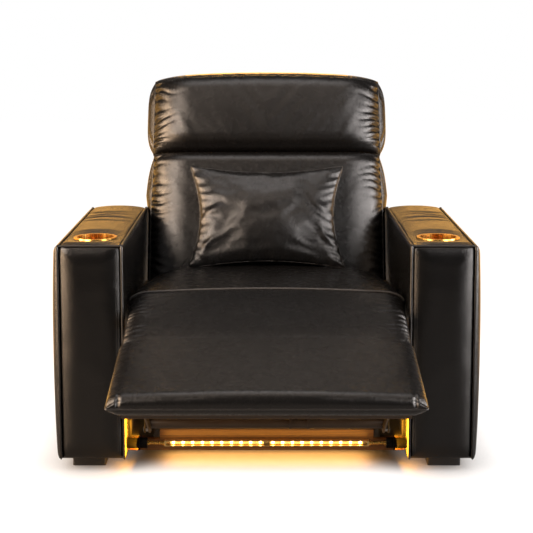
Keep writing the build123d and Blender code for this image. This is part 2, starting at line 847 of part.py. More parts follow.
with BuildPart() as footrest_pad:
    for behind, waist in ((0, 0), (-footrest_length / 2, footrest_waist), (-footrest_length, 0)):
        with BuildSketch(footrest_cross_plane(behind)):
            crowned_face(seat_half - waist, -footrest_thickness, -footrest_crown, footrest_crown,
                         footrest_thickness / 2)
    loft()
    with BuildSketch(footrest_plane(0)):
        roll_cut = footrest_roll * (1 - cos(radians(45)))
        with BuildLine():
            Polyline((footrest_roll - footrest_length, 0), (0, 0), (0, -footrest_thickness),
                     (footrest_roll - footrest_length, -footrest_thickness))
            ThreePointArc((footrest_roll - footrest_length, -footrest_thickness),
                          (roll_cut - footrest_length, roll_cut - footrest_thickness),
                          (-footrest_length, footrest_roll - footrest_thickness))
            Line((-footrest_length, footrest_roll - footrest_thickness), (-footrest_length, -footrest_roll))
            ThreePointArc((-footrest_length, -footrest_roll), (roll_cut - footrest_length, -roll_cut),
                          (footrest_roll - footrest_length, 0))
        make_face()
    extrude(amount=2 * seat_half, both=True, mode=Mode.INTERSECT)
save(footrest_pad, "footrest_pad")

with BuildPart() as leg_bridge:
    with BuildSketch(footrest_cross_plane(soft_gap)):
        crowned_face(seat_half, -bridge_thickness, -footrest_crown, footrest_crown, bridge_thickness / 2)
    with BuildSketch(front_plane(seat_front_depth - soft_gap)):
        crowned_face(seat_half, seat_front_height - bridge_thickness, seat_front_height, seat_crown,
                     bridge_thickness / 2)
    loft()
save(leg_bridge, "leg_bridge")

# ---------------------------------------------------------------- seat
with BuildPart() as seat_frame:
    with BuildSketch(Plane.XY.offset(plate_top)):
        frame_middle = y_at((seat_front_depth + seat_rear_depth) / 2)
        frame_run = seat_rear_depth - seat_front_depth
        with Locations((0, frame_middle)):
            Rectangle(2 * seat_frame_half, frame_run)
            Rectangle(2 * (seat_frame_half - seat_rail), frame_run - 2 * seat_rail, mode=Mode.SUBTRACT)
    extrude(amount=seat_frame_height)
save(seat_frame, "seat_frame")

with BuildPart() as seat_webbing:
    strap_pitch = (seat_rear_depth - seat_front_depth - webbing_width) / (seat_straps - 1)
    with BuildSketch(Plane.XY.offset(seat_frame_top)):
        for strap in range(seat_straps):
            with Locations((0, y_at(seat_front_depth + webbing_width / 2 + strap * strap_pitch))):
                Rectangle(2 * seat_frame_half, webbing_width)
    extrude(amount=webbing)
save(seat_webbing, "seat_webbing")

seat_middle_depth = (seat_front_depth + seat_rear_depth) / 2
with BuildPart() as seat_cushion:
    for depth, edge in ((seat_front_depth, seat_front_height), (seat_middle_depth, seat_middle_height),
                        (seat_rear_depth, seat_rear_height)):
        with BuildSketch(front_plane(depth)):
            crowned_face(seat_half, seat_bottom, edge, seat_crown, seat_shoulder)
    loft()
save(seat_cushion, "seat_cushion")

# ---------------------------------------------------------------- back


def nose_point(radius, behind):
    """Point of the back's round lower edge, at a place behind the pivot."""
    return behind, -((radius**2 - behind**2) ** 0.5)


def cut_pivot_slots(low, high):
    """Slots through the padding for the seat plates and the brackets, below the pivots' ears."""
    plates_middle = (plate_half + back_frame_half) / 2
    for sign in (-1, 1):
        with BuildSketch(back_plane(sign * plates_middle)) as slot:
            box_between((low, -2 * back_front), (high, slot_top))
        extrude(slot.sketch, amount=slot_half, both=True, mode=Mode.SUBTRACT)


def cut_leaf_slots():
    """Slots through the padding at the top of the back, for the headrest's hinge leaves."""
    for sign in (-1, 1):
        with BuildSketch(back_plane(sign * (leaf_inner + head_arm / 2))) as slot:
            box_between((-head_pivot_front, back_frame_top), (frame_rear + leaf_fit, back_top + leaf_fit))
        extrude(slot.sketch, amount=head_arm / 2 + leaf_fit, both=True, mode=Mode.SUBTRACT)


back_middle = back_top / 2
with BuildPart() as back_cushion:
    for up, crown in ((-back_front, back_crown / 3), (back_middle, back_crown), (back_top, back_crown / 2)):
        with BuildSketch(back_cross_plane(up)):
            crowned_face(back_swell, -back_seam, back_front - back_crown / 2, crown, back_edge)
    loft()
    with BuildSketch(back_plane(0)):
        edge_cut = back_edge * (1 - cos(radians(45)))
        low = nose_point(back_front, back_seam)
        with BuildLine():
            Polyline((-back_front - back_crown, back_top - back_edge), (-back_front - back_crown, back_middle / 2),
                     (-back_front, 0))
            ThreePointArc((-back_front, 0), turned(back_front, 225), low)
            Polyline(low, (back_seam, back_top), (back_edge - back_front - back_crown, back_top))
            ThreePointArc((back_edge - back_front - back_crown, back_top),
                          (edge_cut - back_front - back_crown, back_top - edge_cut),
                          (-back_front - back_crown, back_top - back_edge))
        make_face()
    extrude(amount=2 * back_half, both=True, mode=Mode.INTERSECT)
    with BuildSketch(back_face_plane(0)):
        swell_middle = (back_swell_from + back_top) / 2
        with BuildLine():
            Polyline((back_half, back_swell_from), (back_half, -2 * back_front),
                     (-back_half, -2 * back_front), (-back_half, back_swell_from))
            ThreePointArc((-back_half, back_swell_from), (-back_swell, swell_middle), (-back_half, back_top))
            Line((-back_half, back_top), (back_half, back_top))
            ThreePointArc((back_half, back_top), (back_swell, swell_middle), (back_half, back_swell_from))
        make_face()
    extrude(amount=2 * back_front, both=True, mode=Mode.INTERSECT)
    cut_pivot_slots(-2 * back_front, back_rear)
    cut_leaf_slots()
save(back_cushion, "back_cushion")

with BuildPart() as back_rear_cover:
    with BuildSketch(back_plane(0)):
        low = nose_point(back_front, back_seam)
        rear_low = nose_point(back_front, back_rear)
        with BuildLine():
            Polyline(rear_low, (back_rear, back_top - back_edge))
            ThreePointArc((back_rear, back_top - back_edge), (back_rear - edge_cut, back_top - edge_cut),
                          (back_rear - back_edge, back_top))
            Polyline((back_rear - back_edge, back_top), (back_seam, back_top), low)
            ThreePointArc(low, turned(back_front, 290), rear_low)
        make_face()
    extrude(amount=back_half, both=True)
    fillet(back_rear_cover.edges().filter_by(lambda e: abs(abs(e.center().X) - back_half) < 0.01)
           .filter_by(lambda e: back_plane(0).to_local_coords(e.center()).X > back_rear - 0.01), cover_wall)
    with BuildSketch(back_plane(0)):
        box_between((back_seam, slot_top - back_front), (back_rear - cover_wall, back_top - cover_wall))
    extrude(amount=back_half - cover_wall, both=True, mode=Mode.SUBTRACT)
    cut_pivot_slots(-2 * back_front, 2 * back_rear)
    cut_leaf_slots()
    with BuildSketch(back_plane(-actuator_offset)):
        box_between((back_seam, -2 * back_front), (2 * back_rear, back_frame_bottom))
    extrude(amount=cranks_outer + crank_gap, both=True, mode=Mode.SUBTRACT)
save(back_rear_cover, "back_rear_cover")

with BuildPart() as back_frame:
    with BuildSketch(back_face_plane(back_frame_front)):
        box_between((-back_frame_half, back_frame_bottom), (back_frame_half, back_frame_top))
        box_between((back_stile - back_frame_half, back_frame_bottom + back_rail),
                    (back_frame_half - back_stile, back_frame_top - back_rail), mode=Mode.SUBTRACT)
    extrude(amount=-back_frame_thickness)
    with BuildSketch(back_plane(0)):
        Circle(pivot_pin_radius + pin_head_radius - pin_radius + leaf_fit)
    extrude(amount=back_frame_half, both=True, mode=Mode.SUBTRACT)
save(back_frame, "back_frame")

with BuildPart() as back_webbing:
    strap_run = back_frame_top - back_frame_bottom - back_rail
    strap_pitch = (strap_run - webbing_width) / (back_straps - 1)
    with BuildSketch(back_face_plane(back_seam)):
        for strap in range(back_straps):
            with Locations((0, back_frame_bottom + back_rail + webbing_width / 2 + strap * strap_pitch)):
                Rectangle(2 * back_frame_half, webbing_width)
    extrude(amount=-webbing)
save(back_webbing, "back_webbing")

with BuildPart() as back_brackets:
    for sign in (-1, 1):
        with BuildSketch(back_plane(sign * drive_outer)):
            Circle(pivot_ear)
            box_between((back_frame_front, back_frame_bottom), (frame_rear, bracket_top))
            holes_at([(0, 0)], pivot_pin_radius + pin_fit)
        extrude(amount=-sign * sheet)
    recline_pin_local = in_back(recline_pin)
    for sign in (-1, 1):
        with BuildSketch(back_plane(sign * cranks_inner - actuator_offset)):
            with BuildLine():
                Polyline((back_frame_front, back_frame_bottom),
                         (recline_pin_local[0] - crank_half_width, recline_pin_local[1]),
                         (recline_pin_local[0] + crank_half_width, recline_pin_local[1]),
                         (frame_rear, back_frame_bottom), (back_frame_front, back_frame_bottom))
            make_face()
            with Locations(recline_pin_local):
                Circle(crank_half_width)
        extrude(amount=sign * crank_sheet)
    with BuildSketch(back_plane(-cranks_inner - actuator_offset)):
        with Locations(recline_pin_local):
            Circle(crank_pin_radius)
    extrude(amount=2 * cranks_inner)
save(back_brackets, "back_brackets")

# ---------------------------------------------------------------- headrest
slot_from = head_arm_at - head_slot_gap
slot_to = leaf_inner + head_arm + head_slot_gap

with BuildPart() as headrest_board:
    with BuildSketch(back_face_plane(head_board_front)):
        box_between((-head_board_half, head_board_bottom), (head_board_half, head_board_top))
    extrude(amount=-head_board)
save(headrest_board, "headrest_board")

with BuildPart() as headrest_arms:
    for sign in (-1, 1):
        with BuildSketch(back_plane(sign * head_arm_at)):
            with BuildLine():
                Polyline((-head_pivot_front - head_arm_half_width, head_pivot_up),
                         (head_board_front, head_board_bottom),
                         (head_board_front + head_board, head_board_bottom),
                         (-head_pivot_front + head_arm_half_width, head_pivot_up),
                         (-head_pivot_front - head_arm_half_width, head_pivot_up))
            make_face()
            with Locations(head_pivot):
                Circle(head_arm_half_width)
            holes_at([head_pivot], pin_radius + pin_fit)
        extrude(amount=sign * head_arm)
save(headrest_arms, "headrest_arms")

with BuildPart() as headrest_hinges:
    for sign in (-1, 1):
        with BuildSketch(back_plane(sign * leaf_inner)):
            with BuildLine():
                Polyline((-head_pivot_front - head_arm_half_width, head_pivot_up),
                         (back_frame_front, back_frame_top), (frame_rear, back_frame_top),
                         (-head_pivot_front + head_arm_half_width, head_pivot_up),
                         (-head_pivot_front - head_arm_half_width, head_pivot_up))
            make_face()
            with Locations(head_pivot):
                Circle(head_arm_half_width)
            holes_at([head_pivot], pin_radius + pin_fit)
        extrude(amount=sign * head_arm)
    for sign in (-1, 1):
        for start, length, size in (
            (head_arm_at - pin_head, pin_head, pin_head_radius),
            (head_arm_at, 2 * head_arm + head_arm_gap, pin_radius),
            (leaf_inner + head_arm, pin_head, pin_head_radius),
        ):
            with BuildSketch(back_plane(sign * start)):
                with Locations(head_pivot):
                    Circle(size)
            extrude(amount=sign * length)
save(headrest_hinges, "headrest_hinges")

with BuildPart() as headrest_cushion:
    for up, crown in ((head_pivot_up - head_nose, head_end_crown),
                      ((head_pivot_up + head_top) / 2, head_crown),
                      (head_top + head_arch, head_end_crown)):
        with BuildSketch(back_cross_plane(up)):
            crowned_face(head_half_mid, -head_rear, head_front, crown, head_edge)
    loft()
    with BuildSketch(back_plane(0)):
        head_cut = head_edge * (1 - cos(radians(45)))
        top, front = head_top + head_arch, -head_front - head_crown
        with BuildLine():
            Polyline((head_rear, head_pivot_up), (head_rear, top - head_edge))
            ThreePointArc((head_rear, top - head_edge), (head_rear - head_cut, top - head_cut),
                          (head_rear - head_edge, top))
            Line((head_rear - head_edge, top), (front + head_edge, top))
            ThreePointArc((front + head_edge, top), (front + head_cut, top - head_cut),
                          (front, top - head_edge))
            Polyline((front, top - head_edge), (front, head_pivot_up + 2 * head_crown),
                     (-head_front, head_pivot_up))
            ThreePointArc((-head_front, head_pivot_up), (-head_pivot_front, head_pivot_up - head_nose),
                          (head_rear, head_pivot_up))
        make_face()
    extrude(amount=2 * head_half_mid, both=True, mode=Mode.INTERSECT)
    with BuildSketch(back_face_plane(0)):
        low, corner_cut = head_pivot_up - head_nose, head_corner * (1 - cos(radians(45)))
        with BuildLine():
            Line((-head_half_low, low), (head_half_low, low))
            ThreePointArc((head_half_low, low), (head_half_mid, (low + head_top) / 2),
                          (head_half_top, head_top - head_corner))
            ThreePointArc((head_half_top, head_top - head_corner),
                          (head_half_top - corner_cut, head_top - corner_cut),
                          (head_half_top - head_corner, head_top))
            ThreePointArc((head_half_top - head_corner, head_top), (0, head_top + head_arch),
                          (head_corner - head_half_top, head_top))
            ThreePointArc((head_corner - head_half_top, head_top),
                          (corner_cut - head_half_top, head_top - corner_cut),
                          (-head_half_top, head_top - head_corner))
            ThreePointArc((-head_half_top, head_top - head_corner), (-head_half_mid, (low + head_top) / 2),
                          (-head_half_low, low))
        make_face()
    extrude(amount=3 * head_front, both=True, mode=Mode.INTERSECT)
    add(headrest_board.part, mode=Mode.SUBTRACT)
    add(headrest_arms.part, mode=Mode.SUBTRACT)
    for sign in (-1, 1):
        with BuildSketch(back_plane(sign * slot_from)):
            box_between((-head_pivot_front - head_arm_half_width - head_slot_gap, low),
                        (head_rear, head_pivot_up + head_arm_half_width + head_slot_gap))
        extrude(amount=sign * (slot_to - slot_from), mode=Mode.SUBTRACT)
save(headrest_cushion, "headrest_cushion")

# ---------------------------------------------------------------- actuators
with BuildPart() as cross_bar:
    with BuildSketch(side_plane(sheet - plate_half)):
        with Locations((cross_bar_depth, footrest_rod_height)):
            Rectangle(cross_bar_size, cross_bar_size)
            Rectangle(cross_bar_size - 2 * cross_bar_wall, cross_bar_size - 2 * cross_bar_wall,
                      mode=Mode.SUBTRACT)
    extrude(amount=2 * (plate_half - sheet))
save(cross_bar, "cross_bar")


def make_actuator_tube(x, height, front, rear):
    with BuildPart() as tube:
        with BuildSketch(front_plane(rear)):
            with Locations((x, height)):
                Circle(tube_radius)
                Circle(tube_bore, mode=Mode.SUBTRACT)
        extrude(amount=rear - front)
    return tube


def make_rod(x, height, pin_depth, direction, length):
    """Actuator rod with a slotted flat end. The pin can move up and down in the slot."""
    slot_width = 2 * (crank_pin_radius + yoke_slot_play)
    slot_height = yoke_height - 2 * (yoke_length / 2 - slot_width / 2)
    with BuildPart() as rod:
        with BuildSketch(side_plane(x)):
            with Locations((pin_depth, height)):
                Rectangle(yoke_length, yoke_height)
                SlotOverall(slot_height, slot_width, rotation=90, mode=Mode.SUBTRACT)
        extrude(amount=yoke_thickness / 2, both=True)
        with BuildSketch(front_plane(pin_depth + direction * yoke_length / 2)):
            with Locations((x, height)):
                Circle(rod_radius)
        extrude(amount=-direction * length)
    return rod


save(make_actuator_tube(actuator_offset, footrest_rod_height, footrest_tube_front, footrest_tube_rear),
     "footrest_actuator_tube")
save(make_rod(actuator_offset, footrest_rod_height, crank_pin[0], 1, footrest_rod_length),
     "footrest_actuator_rod")
save(make_actuator_tube(-actuator_offset, recline_rod_height, recline_tube_front, recline_tube_rear),
     "recline_actuator_tube")
save(make_rod(-actuator_offset, recline_rod_height, recline_pin[0], -1, recline_rod_length),
     "recline_actuator_rod")

for motor_name, motor_x, motor_axis, motor_rear in (
    ("footrest_motor", actuator_offset, footrest_rod_height, bar_front),
    ("recline_motor", -actuator_offset, recline_rod_height, recline_tube_front),
):
    with BuildPart() as motor:
        with BuildSketch(front_plane(motor_rear)):
            with Locations((motor_x, motor_axis + motor_width / 2 - motor_height / 2)):
                RectangleRounded(motor_width, motor_height, motor_edge)
        extrude(amount=motor_length)
    save(motor, motor_name)

# ---------------------------------------------------------------- loose cushion
lean = radians(cushion_lean)
cushion_up = Vector(0, sin(lean), cos(lean))
cushion_front = Vector(0, -cos(lean), sin(lean))
cushion_foot = Vector(0, y_at(back_pivot_depth - cushion_foot_ahead), seat_rear_height + cushion_foot_above)
cushion_middle = cushion_foot + cushion_up * (cushion_height / 2)
face_plane = Plane(origin=cushion_middle, x_dir=(1, 0, 0), z_dir=cushion_front)
half_width, half_height = cushion_width / 2, cushion_height / 2

with BuildPart() as loose_cushion:
    with BuildSketch(face_plane):
        corners = [(half_width, half_height), (-half_width, half_height),
                   (-half_width, -half_height), (half_width, -half_height)]
        waists = [(0, half_height - cushion_waist / 2), (cushion_waist - half_width, 0),
                  (0, cushion_waist / 2 - half_height), (half_width - cushion_waist, 0)]
        with BuildLine():
            for index, waist in enumerate(waists):
                ThreePointArc(corners[index], waist, corners[(index + 1) % 4])
        make_face()
    extrude(amount=cushion_thickness, both=True)
    for lens_plane, half in (
        (Plane(origin=cushion_middle, x_dir=(1, 0, 0), z_dir=cushion_up), half_width),
        (Plane(origin=cushion_middle, x_dir=cushion_up, z_dir=(1, 0, 0)), half_height),
    ):
        with BuildSketch(lens_plane):
            with BuildLine():
                ThreePointArc((-half, cushion_edge / 2), (0, cushion_thickness / 2), (half, cushion_edge / 2))
                Line((half, cushion_edge / 2), (half, -cushion_edge / 2))
                ThreePointArc((half, -cushion_edge / 2), (0, -cushion_thickness / 2),
                              (-half, -cushion_edge / 2))
                Line((-half, -cushion_edge / 2), (-half, cushion_edge / 2))
            make_face()
        extrude(amount=cushion_width, both=True, mode=Mode.INTERSECT)
save(loose_cushion, "loose_cushion")
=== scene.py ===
import math

import bmesh
import bpy
import numpy as np
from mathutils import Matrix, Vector, noise


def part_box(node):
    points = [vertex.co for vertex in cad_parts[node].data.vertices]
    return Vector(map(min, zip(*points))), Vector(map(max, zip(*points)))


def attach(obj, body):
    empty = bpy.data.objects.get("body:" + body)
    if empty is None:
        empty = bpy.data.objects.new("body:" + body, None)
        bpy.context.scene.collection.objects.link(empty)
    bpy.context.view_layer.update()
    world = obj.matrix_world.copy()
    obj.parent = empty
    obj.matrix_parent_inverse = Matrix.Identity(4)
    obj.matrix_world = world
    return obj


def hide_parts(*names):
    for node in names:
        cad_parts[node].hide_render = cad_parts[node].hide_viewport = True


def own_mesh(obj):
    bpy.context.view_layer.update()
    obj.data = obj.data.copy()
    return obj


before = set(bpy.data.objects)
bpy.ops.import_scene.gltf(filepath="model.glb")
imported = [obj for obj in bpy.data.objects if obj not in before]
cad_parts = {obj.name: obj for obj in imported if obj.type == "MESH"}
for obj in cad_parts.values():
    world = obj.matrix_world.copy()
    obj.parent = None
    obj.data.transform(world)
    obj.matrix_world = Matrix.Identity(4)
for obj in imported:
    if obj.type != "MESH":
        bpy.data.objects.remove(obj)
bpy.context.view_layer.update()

# ---------------------------------------------------------------- places, in metres
front_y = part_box("left_arm_inner_panel")[0].y  # front corners of the arms
arm_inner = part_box("right_arm_inner_panel")[0].x
inner_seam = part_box("right_arm_front_panel")[0].x
outer_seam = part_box("right_arm_front_panel")[1].x
arm_low, arm_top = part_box("right_arm_front_panel")[0].z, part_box("right_arm_front_panel")[1].z
arm_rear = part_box("right_arm_inner_panel")[1].y
arm_rear_round = 0.090

back_pivot = (0.650, 0.350)  # depth behind the arm fronts, and height
back_tilt = math.radians(20.0)
footrest_edge = (-0.145, 0.378)
footrest_slope = math.radians(10.0)

seam_radius = 0.0024  # piping
welt_radius = 0.0034  # the thicker piping on the inner corner of each arm
leather_gap = 0.0004  # how far short of a seam each leather of an arm stops
tiny = 1e-9  # a length or share that counts as none
both_sides = (("left", -1), ("right", 1))

# ---------------------------------------------------------------- meshes


def lattice(us, vs, ws):
    """Closed surface of a box: its points' u, v, w, each from -1 to 1, and its quads."""
    sizes = (len(us), len(vs), len(ws))
    number, where = {}, []

    def point(i, j, k):
        key = (i, j, k)
        if key not in number:
            number[key] = len(where)
            where.append((us[i], vs[j], ws[k]))
        return number[key]

    quads = []
    for axis in range(3):
        first, second = (axis + 1) % 3, (axis + 2) % 3
        for end in (0, sizes[axis] - 1):
            for a in range(sizes[first] - 1):
                for b in range(sizes[second] - 1):
                    quad = []
                    for da, db in ((0, 0), (1, 0), (1, 1), (0, 1)):
                        index = [0, 0, 0]
                        index[axis], index[first], index[second] = end, a + da, b + db
                        quad.append(point(*index))
                    quads.append(quad if end else quad[::-1])
    return np.array(where), quads


def spaced(count, crowd=0.0):
    """count + 1 values from -1 to 1, closer together at the ends where crowd is near 1."""
    t = np.linspace(-1, 1, count + 1)
    return t * (1 - crowd) + crowd * np.sin(t * math.pi / 2)


def columns(*parts):
    """Points from their coordinates, where a plain number holds for all of them."""
    return np.stack(np.broadcast_arrays(*(np.asarray(part, float) for part in parts)), 1)


def added(name, data):
    """A new object in the scene."""
    thing = bpy.data.objects.new(name, data)
    bpy.context.scene.collection.objects.link(thing)
    return thing


def smooth_piece(name, mesh):
    """A mesh as a smooth-shaded object."""
    for polygon in mesh.polygons:
        polygon.use_smooth = True
    return added(name, mesh)


def evaluated(piece):
    """The piece with its modifiers worked out."""
    return piece.evaluated_get(bpy.context.evaluated_depsgraph_get())


def made(name, points, faces):
    """A piece from its points and faces."""
    mesh = bpy.data.meshes.new(name)
    mesh.from_pydata([tuple(p) for p in np.asarray(points, float)], [], [list(f) for f in faces])
    mesh.update()
    return smooth_piece(name, mesh)


def tube(name, points, radius, closed=False):
    """Round tube along a smooth line, as a mesh."""
    line = bpy.data.curves.new(name + "_line", "CURVE")
    line.dimensions = "3D"
    line.bevel_depth = radius
    line.bevel_resolution = 2
    line.use_fill_caps = not closed
    spline = line.splines.new("POLY")
    spline.points.add(len(points) - 1)
    for p, where in zip(spline.points, points):
        p.co = (*where, 1)
    spline.use_cyclic_u = closed
    carrier = added(name + "_carrier", line)
    bpy.context.view_layer.update()
    mesh = bpy.data.meshes.new_from_object(evaluated(carrier))
    mesh.name = name
    bpy.data.objects.remove(carrier)
    return smooth_piece(name, mesh)


def resampled(points, pitch):
    """The same line in steps of about one pitch."""
    points = np.asarray(points, float)
    steps = np.linalg.norm(np.diff(points, axis=0), axis=1)
    along = np.concatenate([[0], np.cumsum(steps)])
    count = max(2, int(along[-1] / pitch))
    want = np.linspace(0, along[-1], count + 1)
    return np.stack([np.interp(want, along, points[:, k]) for k in range(3)], 1)


def stitches(name, points, pitch=0.0055, length=0.0036, radius=0.00055):
    """Row of thread stitches along a line, each a small tapered bar of six sides."""
    line = resampled(points, pitch)
    bar = ((-0.5, 0.35), (-0.2, 1.0), (0.2, 1.0), (0.5, 0.35))  # shares of the length, and widths there
    verts, faces = [], []
    for a, b in zip(line[:-1], line[1:]):
        run = b - a
        size = np.linalg.norm(run)
        if size < tiny:
            continue
        run = run / size
        side = np.cross(run, (0.31, 0.52, 0.79))
        side /= np.linalg.norm(side)
        up = np.cross(side, run)
        middle = (a + b) / 2
        start = len(verts)
        for along, wide in bar:
            for corner in range(6):
                angle = corner * math.pi / 3
                verts.append(middle + run * along * length
                             + (side * math.cos(angle) + up * math.sin(angle)) * radius * wide)
        for ring in range(3):
            for corner in range(6):
                nxt = (corner + 1) % 6
                base = start + ring * 6
                faces.append((base + corner, base + nxt, base + 6 + nxt, base + 6 + corner))
        faces.append(tuple(start + c for c in range(5, -1, -1)))
        faces.append(tuple(start + 18 + c for c in range(6)))
    return made(name, verts, faces)


def rounded_pair(v, w, half_v, half_w, radius):
    """Side view of a box with round edges: the place of the surface point v, w, each from -1 to 1."""
    reach = np.maximum(np.maximum(np.abs(v), np.abs(w)), 1e-6)
    a, b = v / reach * half_v, w / reach * half_w
    qa = np.clip(a, radius - half_v, half_v - radius)
    qb = np.clip(b, radius - half_w, half_w - radius)
    da, db = a - qa, b - qb
    size = np.hypot(da, db)
    share = np.where(size > tiny, radius / np.maximum(size, tiny), 0)
    return (qa + da * share) * reach, (qb + db * share) * reach


def turn_in(u, half, radius):
    """From 0 to 1 as a surface turns round its last radius before the edge at |u| = 1."""
    t = np.clip((np.abs(u) - 1 + radius / half) / (radius / half), 0, 1)
    return 1 - np.sqrt(np.maximum(1 - t * t, 0))


def wobble(points, scale, seed=0.0):
    """Smooth noise from -1 to 1 at each point."""
    return np.array([noise.noise(Vector((p[0] * scale + seed, p[1] * scale - seed, p[2] * scale + 2 * seed)))
                     for p in points])


def gathers(along, away, pitch, depth, reach, seed=0.0):
    """Folds that start at a seam and fade with the distance from it. along and away are in metres."""
    shift = np.array([noise.noise(Vector((a * 9 + seed, b * 14, seed))) for a, b in zip(along, away)])
    amount = np.array([0.5 + 0.5 * noise.noise(Vector((a * 23 + seed, 4.1, seed * 1.7))) for a in along])
    wave = np.cos((along / pitch + shift * 1.3) * 2 * math.pi)
    fold = -np.clip(0.35 - wave, 0, None) ** 1.3 * 0.62
    length = reach * (0.55 + 0.9 * amount)
    return depth * (0.45 + 0.8 * amount) * fold * np.exp(-(away / length) ** 1.3)


def dent(p, centre, size, angle, depth):
    """A soft crease pressed into a face, seen flat: p holds two columns in metres, and size is the
    crease's length and width."""
    c, s = math.cos(angle), math.sin(angle)
    dx, dy = p[:, 0] - centre[0], p[:, 1] - centre[1]
    along, across = dx * c + dy * s, dy * c - dx * s
    across = across + along * along / size[0] * 0.25
    pressed = np.exp(-(along / size[0]) ** 2 - (across / size[1]) ** 2)
    lip = np.exp(-(along / size[0]) ** 2 - ((across - size[1] * 1.7) / (size[1] * 1.2)) ** 2)
    return depth * (0.45 * lip - pressed)


def placed(local, origin, lean):
    """Points given as x, behind and above, in a frame that leans back by an angle at a depth and height."""
    x, behind, above = local.T
    depth = origin[0] + behind * math.cos(lean) + above * math.sin(lean)
    height = origin[1] - behind * math.sin(lean) + above * math.cos(lean)
    return columns(x, front_y + depth, height)


def to_back(local):
    """x, behind the pivot, up along the back: to the object's frame."""
    return placed(local, back_pivot, back_tilt)


def to_footrest(local):
    """x, behind the rear edge (negative), above the top face: to the object's frame."""
    return placed(local, footrest_edge, -footrest_slope)


def to_object(local):
    """x, depth behind the arm fronts, height: to the object's frame."""
    return placed(local, (0, 0), 0)


# ---------------------------------------------------------------- materials


class Nodes:
    """A node tree under construction."""

    def __init__(self, tree):
        self.tree = tree

    def plug(self, socket, value):
        """A socket goes in by a link, and anything else as the value that it keeps."""
        if isinstance(value, bpy.types.NodeSocket):
            self.tree.links.new(value, socket)
        else:
            socket.default_value = value

    def node(self, kind, inputs=None, **settings):
        made_node = self.tree.nodes.new(kind)
        for key, value in settings.items():
            setattr(made_node, key, value)
        for key, value in (inputs or {}).items():
            self.plug(made_node.inputs[key], value)
        return made_node

    def math(self, operation, a, b=0.5):
        return self.node("ShaderNodeMath", {0: a, 1: b}, operation=operation).outputs[0]


class Finish(Nodes):
    """A node material under construction, with its shader and object coordinates ready."""

    def __init__(self, name):
        self.material = bpy.data.materials.new(name)
        self.material.use_nodes = True
        super().__init__(self.material.node_tree)
        self.shader = next(n for n in self.tree.nodes if n.type == "BSDF_PRINCIPLED")
        self.place = self.tree.nodes.new("ShaderNodeTexCoord").outputs["Object"]

    def scaled(self, factors):
        return self.node("ShaderNodeMapping", {"Vector": self.place, "Scale": factors}).outputs["Vector"]

    def mix(self, factor, a, b):
        """From colour a to colour b. Each is a socket or red, green and blue."""
        ends = [end if isinstance(end, bpy.types.NodeSocket) else (*end, 1.0) for end in (a, b)]
        inputs = {"Factor": factor, "A": ends[0], "B": ends[1]}
        return self.node("ShaderNodeMix", inputs, data_type="RGBA").outputs["Result"]

    def ramp(self, factor, stops):
        ramp = self.node("ShaderNodeValToRGB", {"Fac": factor})
        for element, (position, value) in zip(ramp.color_ramp.elements, stops):
            element.position = position
            element.color = (*value, 1.0)
        return ramp.outputs["Color"]

    def noise(self, scale, detail=3.0, rough=0.5, vector=None, distortion=0.0):
        return self.node("ShaderNodeTexNoise", {"Vector": vector or self.place, "Scale": scale,
                                                "Detail": detail, "Roughness": rough,
                                                "Distortion": distortion}).outputs["Fac"]

    def gloss(self, pattern, smoothest, roughest):
        """Roughness that varies with a pattern of which most lies between 0.3 and 0.7."""
        return self.node("ShaderNodeMapRange", {"Value": pattern, "From Min": 0.3, "From Max": 0.7,
                                                "To Min": smoothest, "To Max": roughest}).outputs["Result"]

    def step(self, value, start, end):
        """A smooth rise from 0 to 1 between two values."""
        return self.node("ShaderNodeMapRange", {"Value": value, "From Min": start, "From Max": end},
                         interpolation_type="SMOOTHSTEP").outputs["Result"]

    def bump(self, height, strength, distance, before=None):
        inputs = {"Height": height, "Strength": strength, "Distance": distance}
        if before is not None:
            inputs["Normal"] = before
        return self.node("ShaderNodeBump", inputs).outputs["Normal"]

    def set(self, **inputs):
        for key, value in inputs.items():
            self.plug(self.shader.inputs[key.replace("_", " ")], value)
        return self.material


def dimmed(tone, share):
    """A colour with a share of its strength."""
    return [min(1, part * share) for part in tone]


def leather(name, dark, light, grain, grain_depth, rough, crease=0.0003, coat=0.0):
    """Finished leather: pebbled grain with painted shade in its grooves, fine creases, and uneven dye and
    gloss.
    """
    f = Finish(name)
    bent = f.node("ShaderNodeTexNoise", {"Vector": f.place, "Scale": grain * 0.35,
                                         "Detail": 1.0}).outputs["Color"]
    pulled = f.node("ShaderNodeVectorMath", {0: bent, 1: (0.0016, 0.0016, 0.0016)}, operation="MULTIPLY")
    stretch = f.node("ShaderNodeVectorMath", {0: f.place, 1: pulled.outputs[0]}, operation="ADD").outputs[0]
    cells = f.node("ShaderNodeTexVoronoi", {"Vector": stretch, "Scale": grain, "Randomness": 1.0},
                   feature="DISTANCE_TO_EDGE").outputs["Distance"]
    pebbles = f.step(cells, 0.0, 0.30)
    pores = f.noise(grain * 2.2, 2.0, 0.6)
    creases = f.noise(26.0, 3.0, 0.50, distortion=0.6)
    waves = f.noise(9.0, 3.0, 0.5)
    shade = f.mix(f.noise(5.0, 4.0, 0.55), dark, light)
    # painted shade: the grooves between the pebbles are darkened towards a dimmed dark tone
    groove_shade = f.math("MULTIPLY", f.math("SUBTRACT", 1.0, pebbles), 0.35)
    uneven = f.math("ADD", f.math("MULTIPLY", creases, 0.6), f.math("MULTIPLY", pores, 0.4))
    normal = None
    for height, strength, depth in ((waves, 0.25, crease), (creases, 0.30, crease),
                                    (pebbles, 0.80, grain_depth), (pores, 0.30, grain_depth * 0.3)):
        normal = f.bump(height, strength, depth, normal)
    f.set(Base_Color=f.mix(groove_shade, shade, dimmed(dark, 0.45)), Roughness=f.gloss(uneven, *rough),
          Normal=normal)
    return f.set(Specular_IOR_Level=0.5, Coat_Weight=coat, Coat_Roughness=0.20)


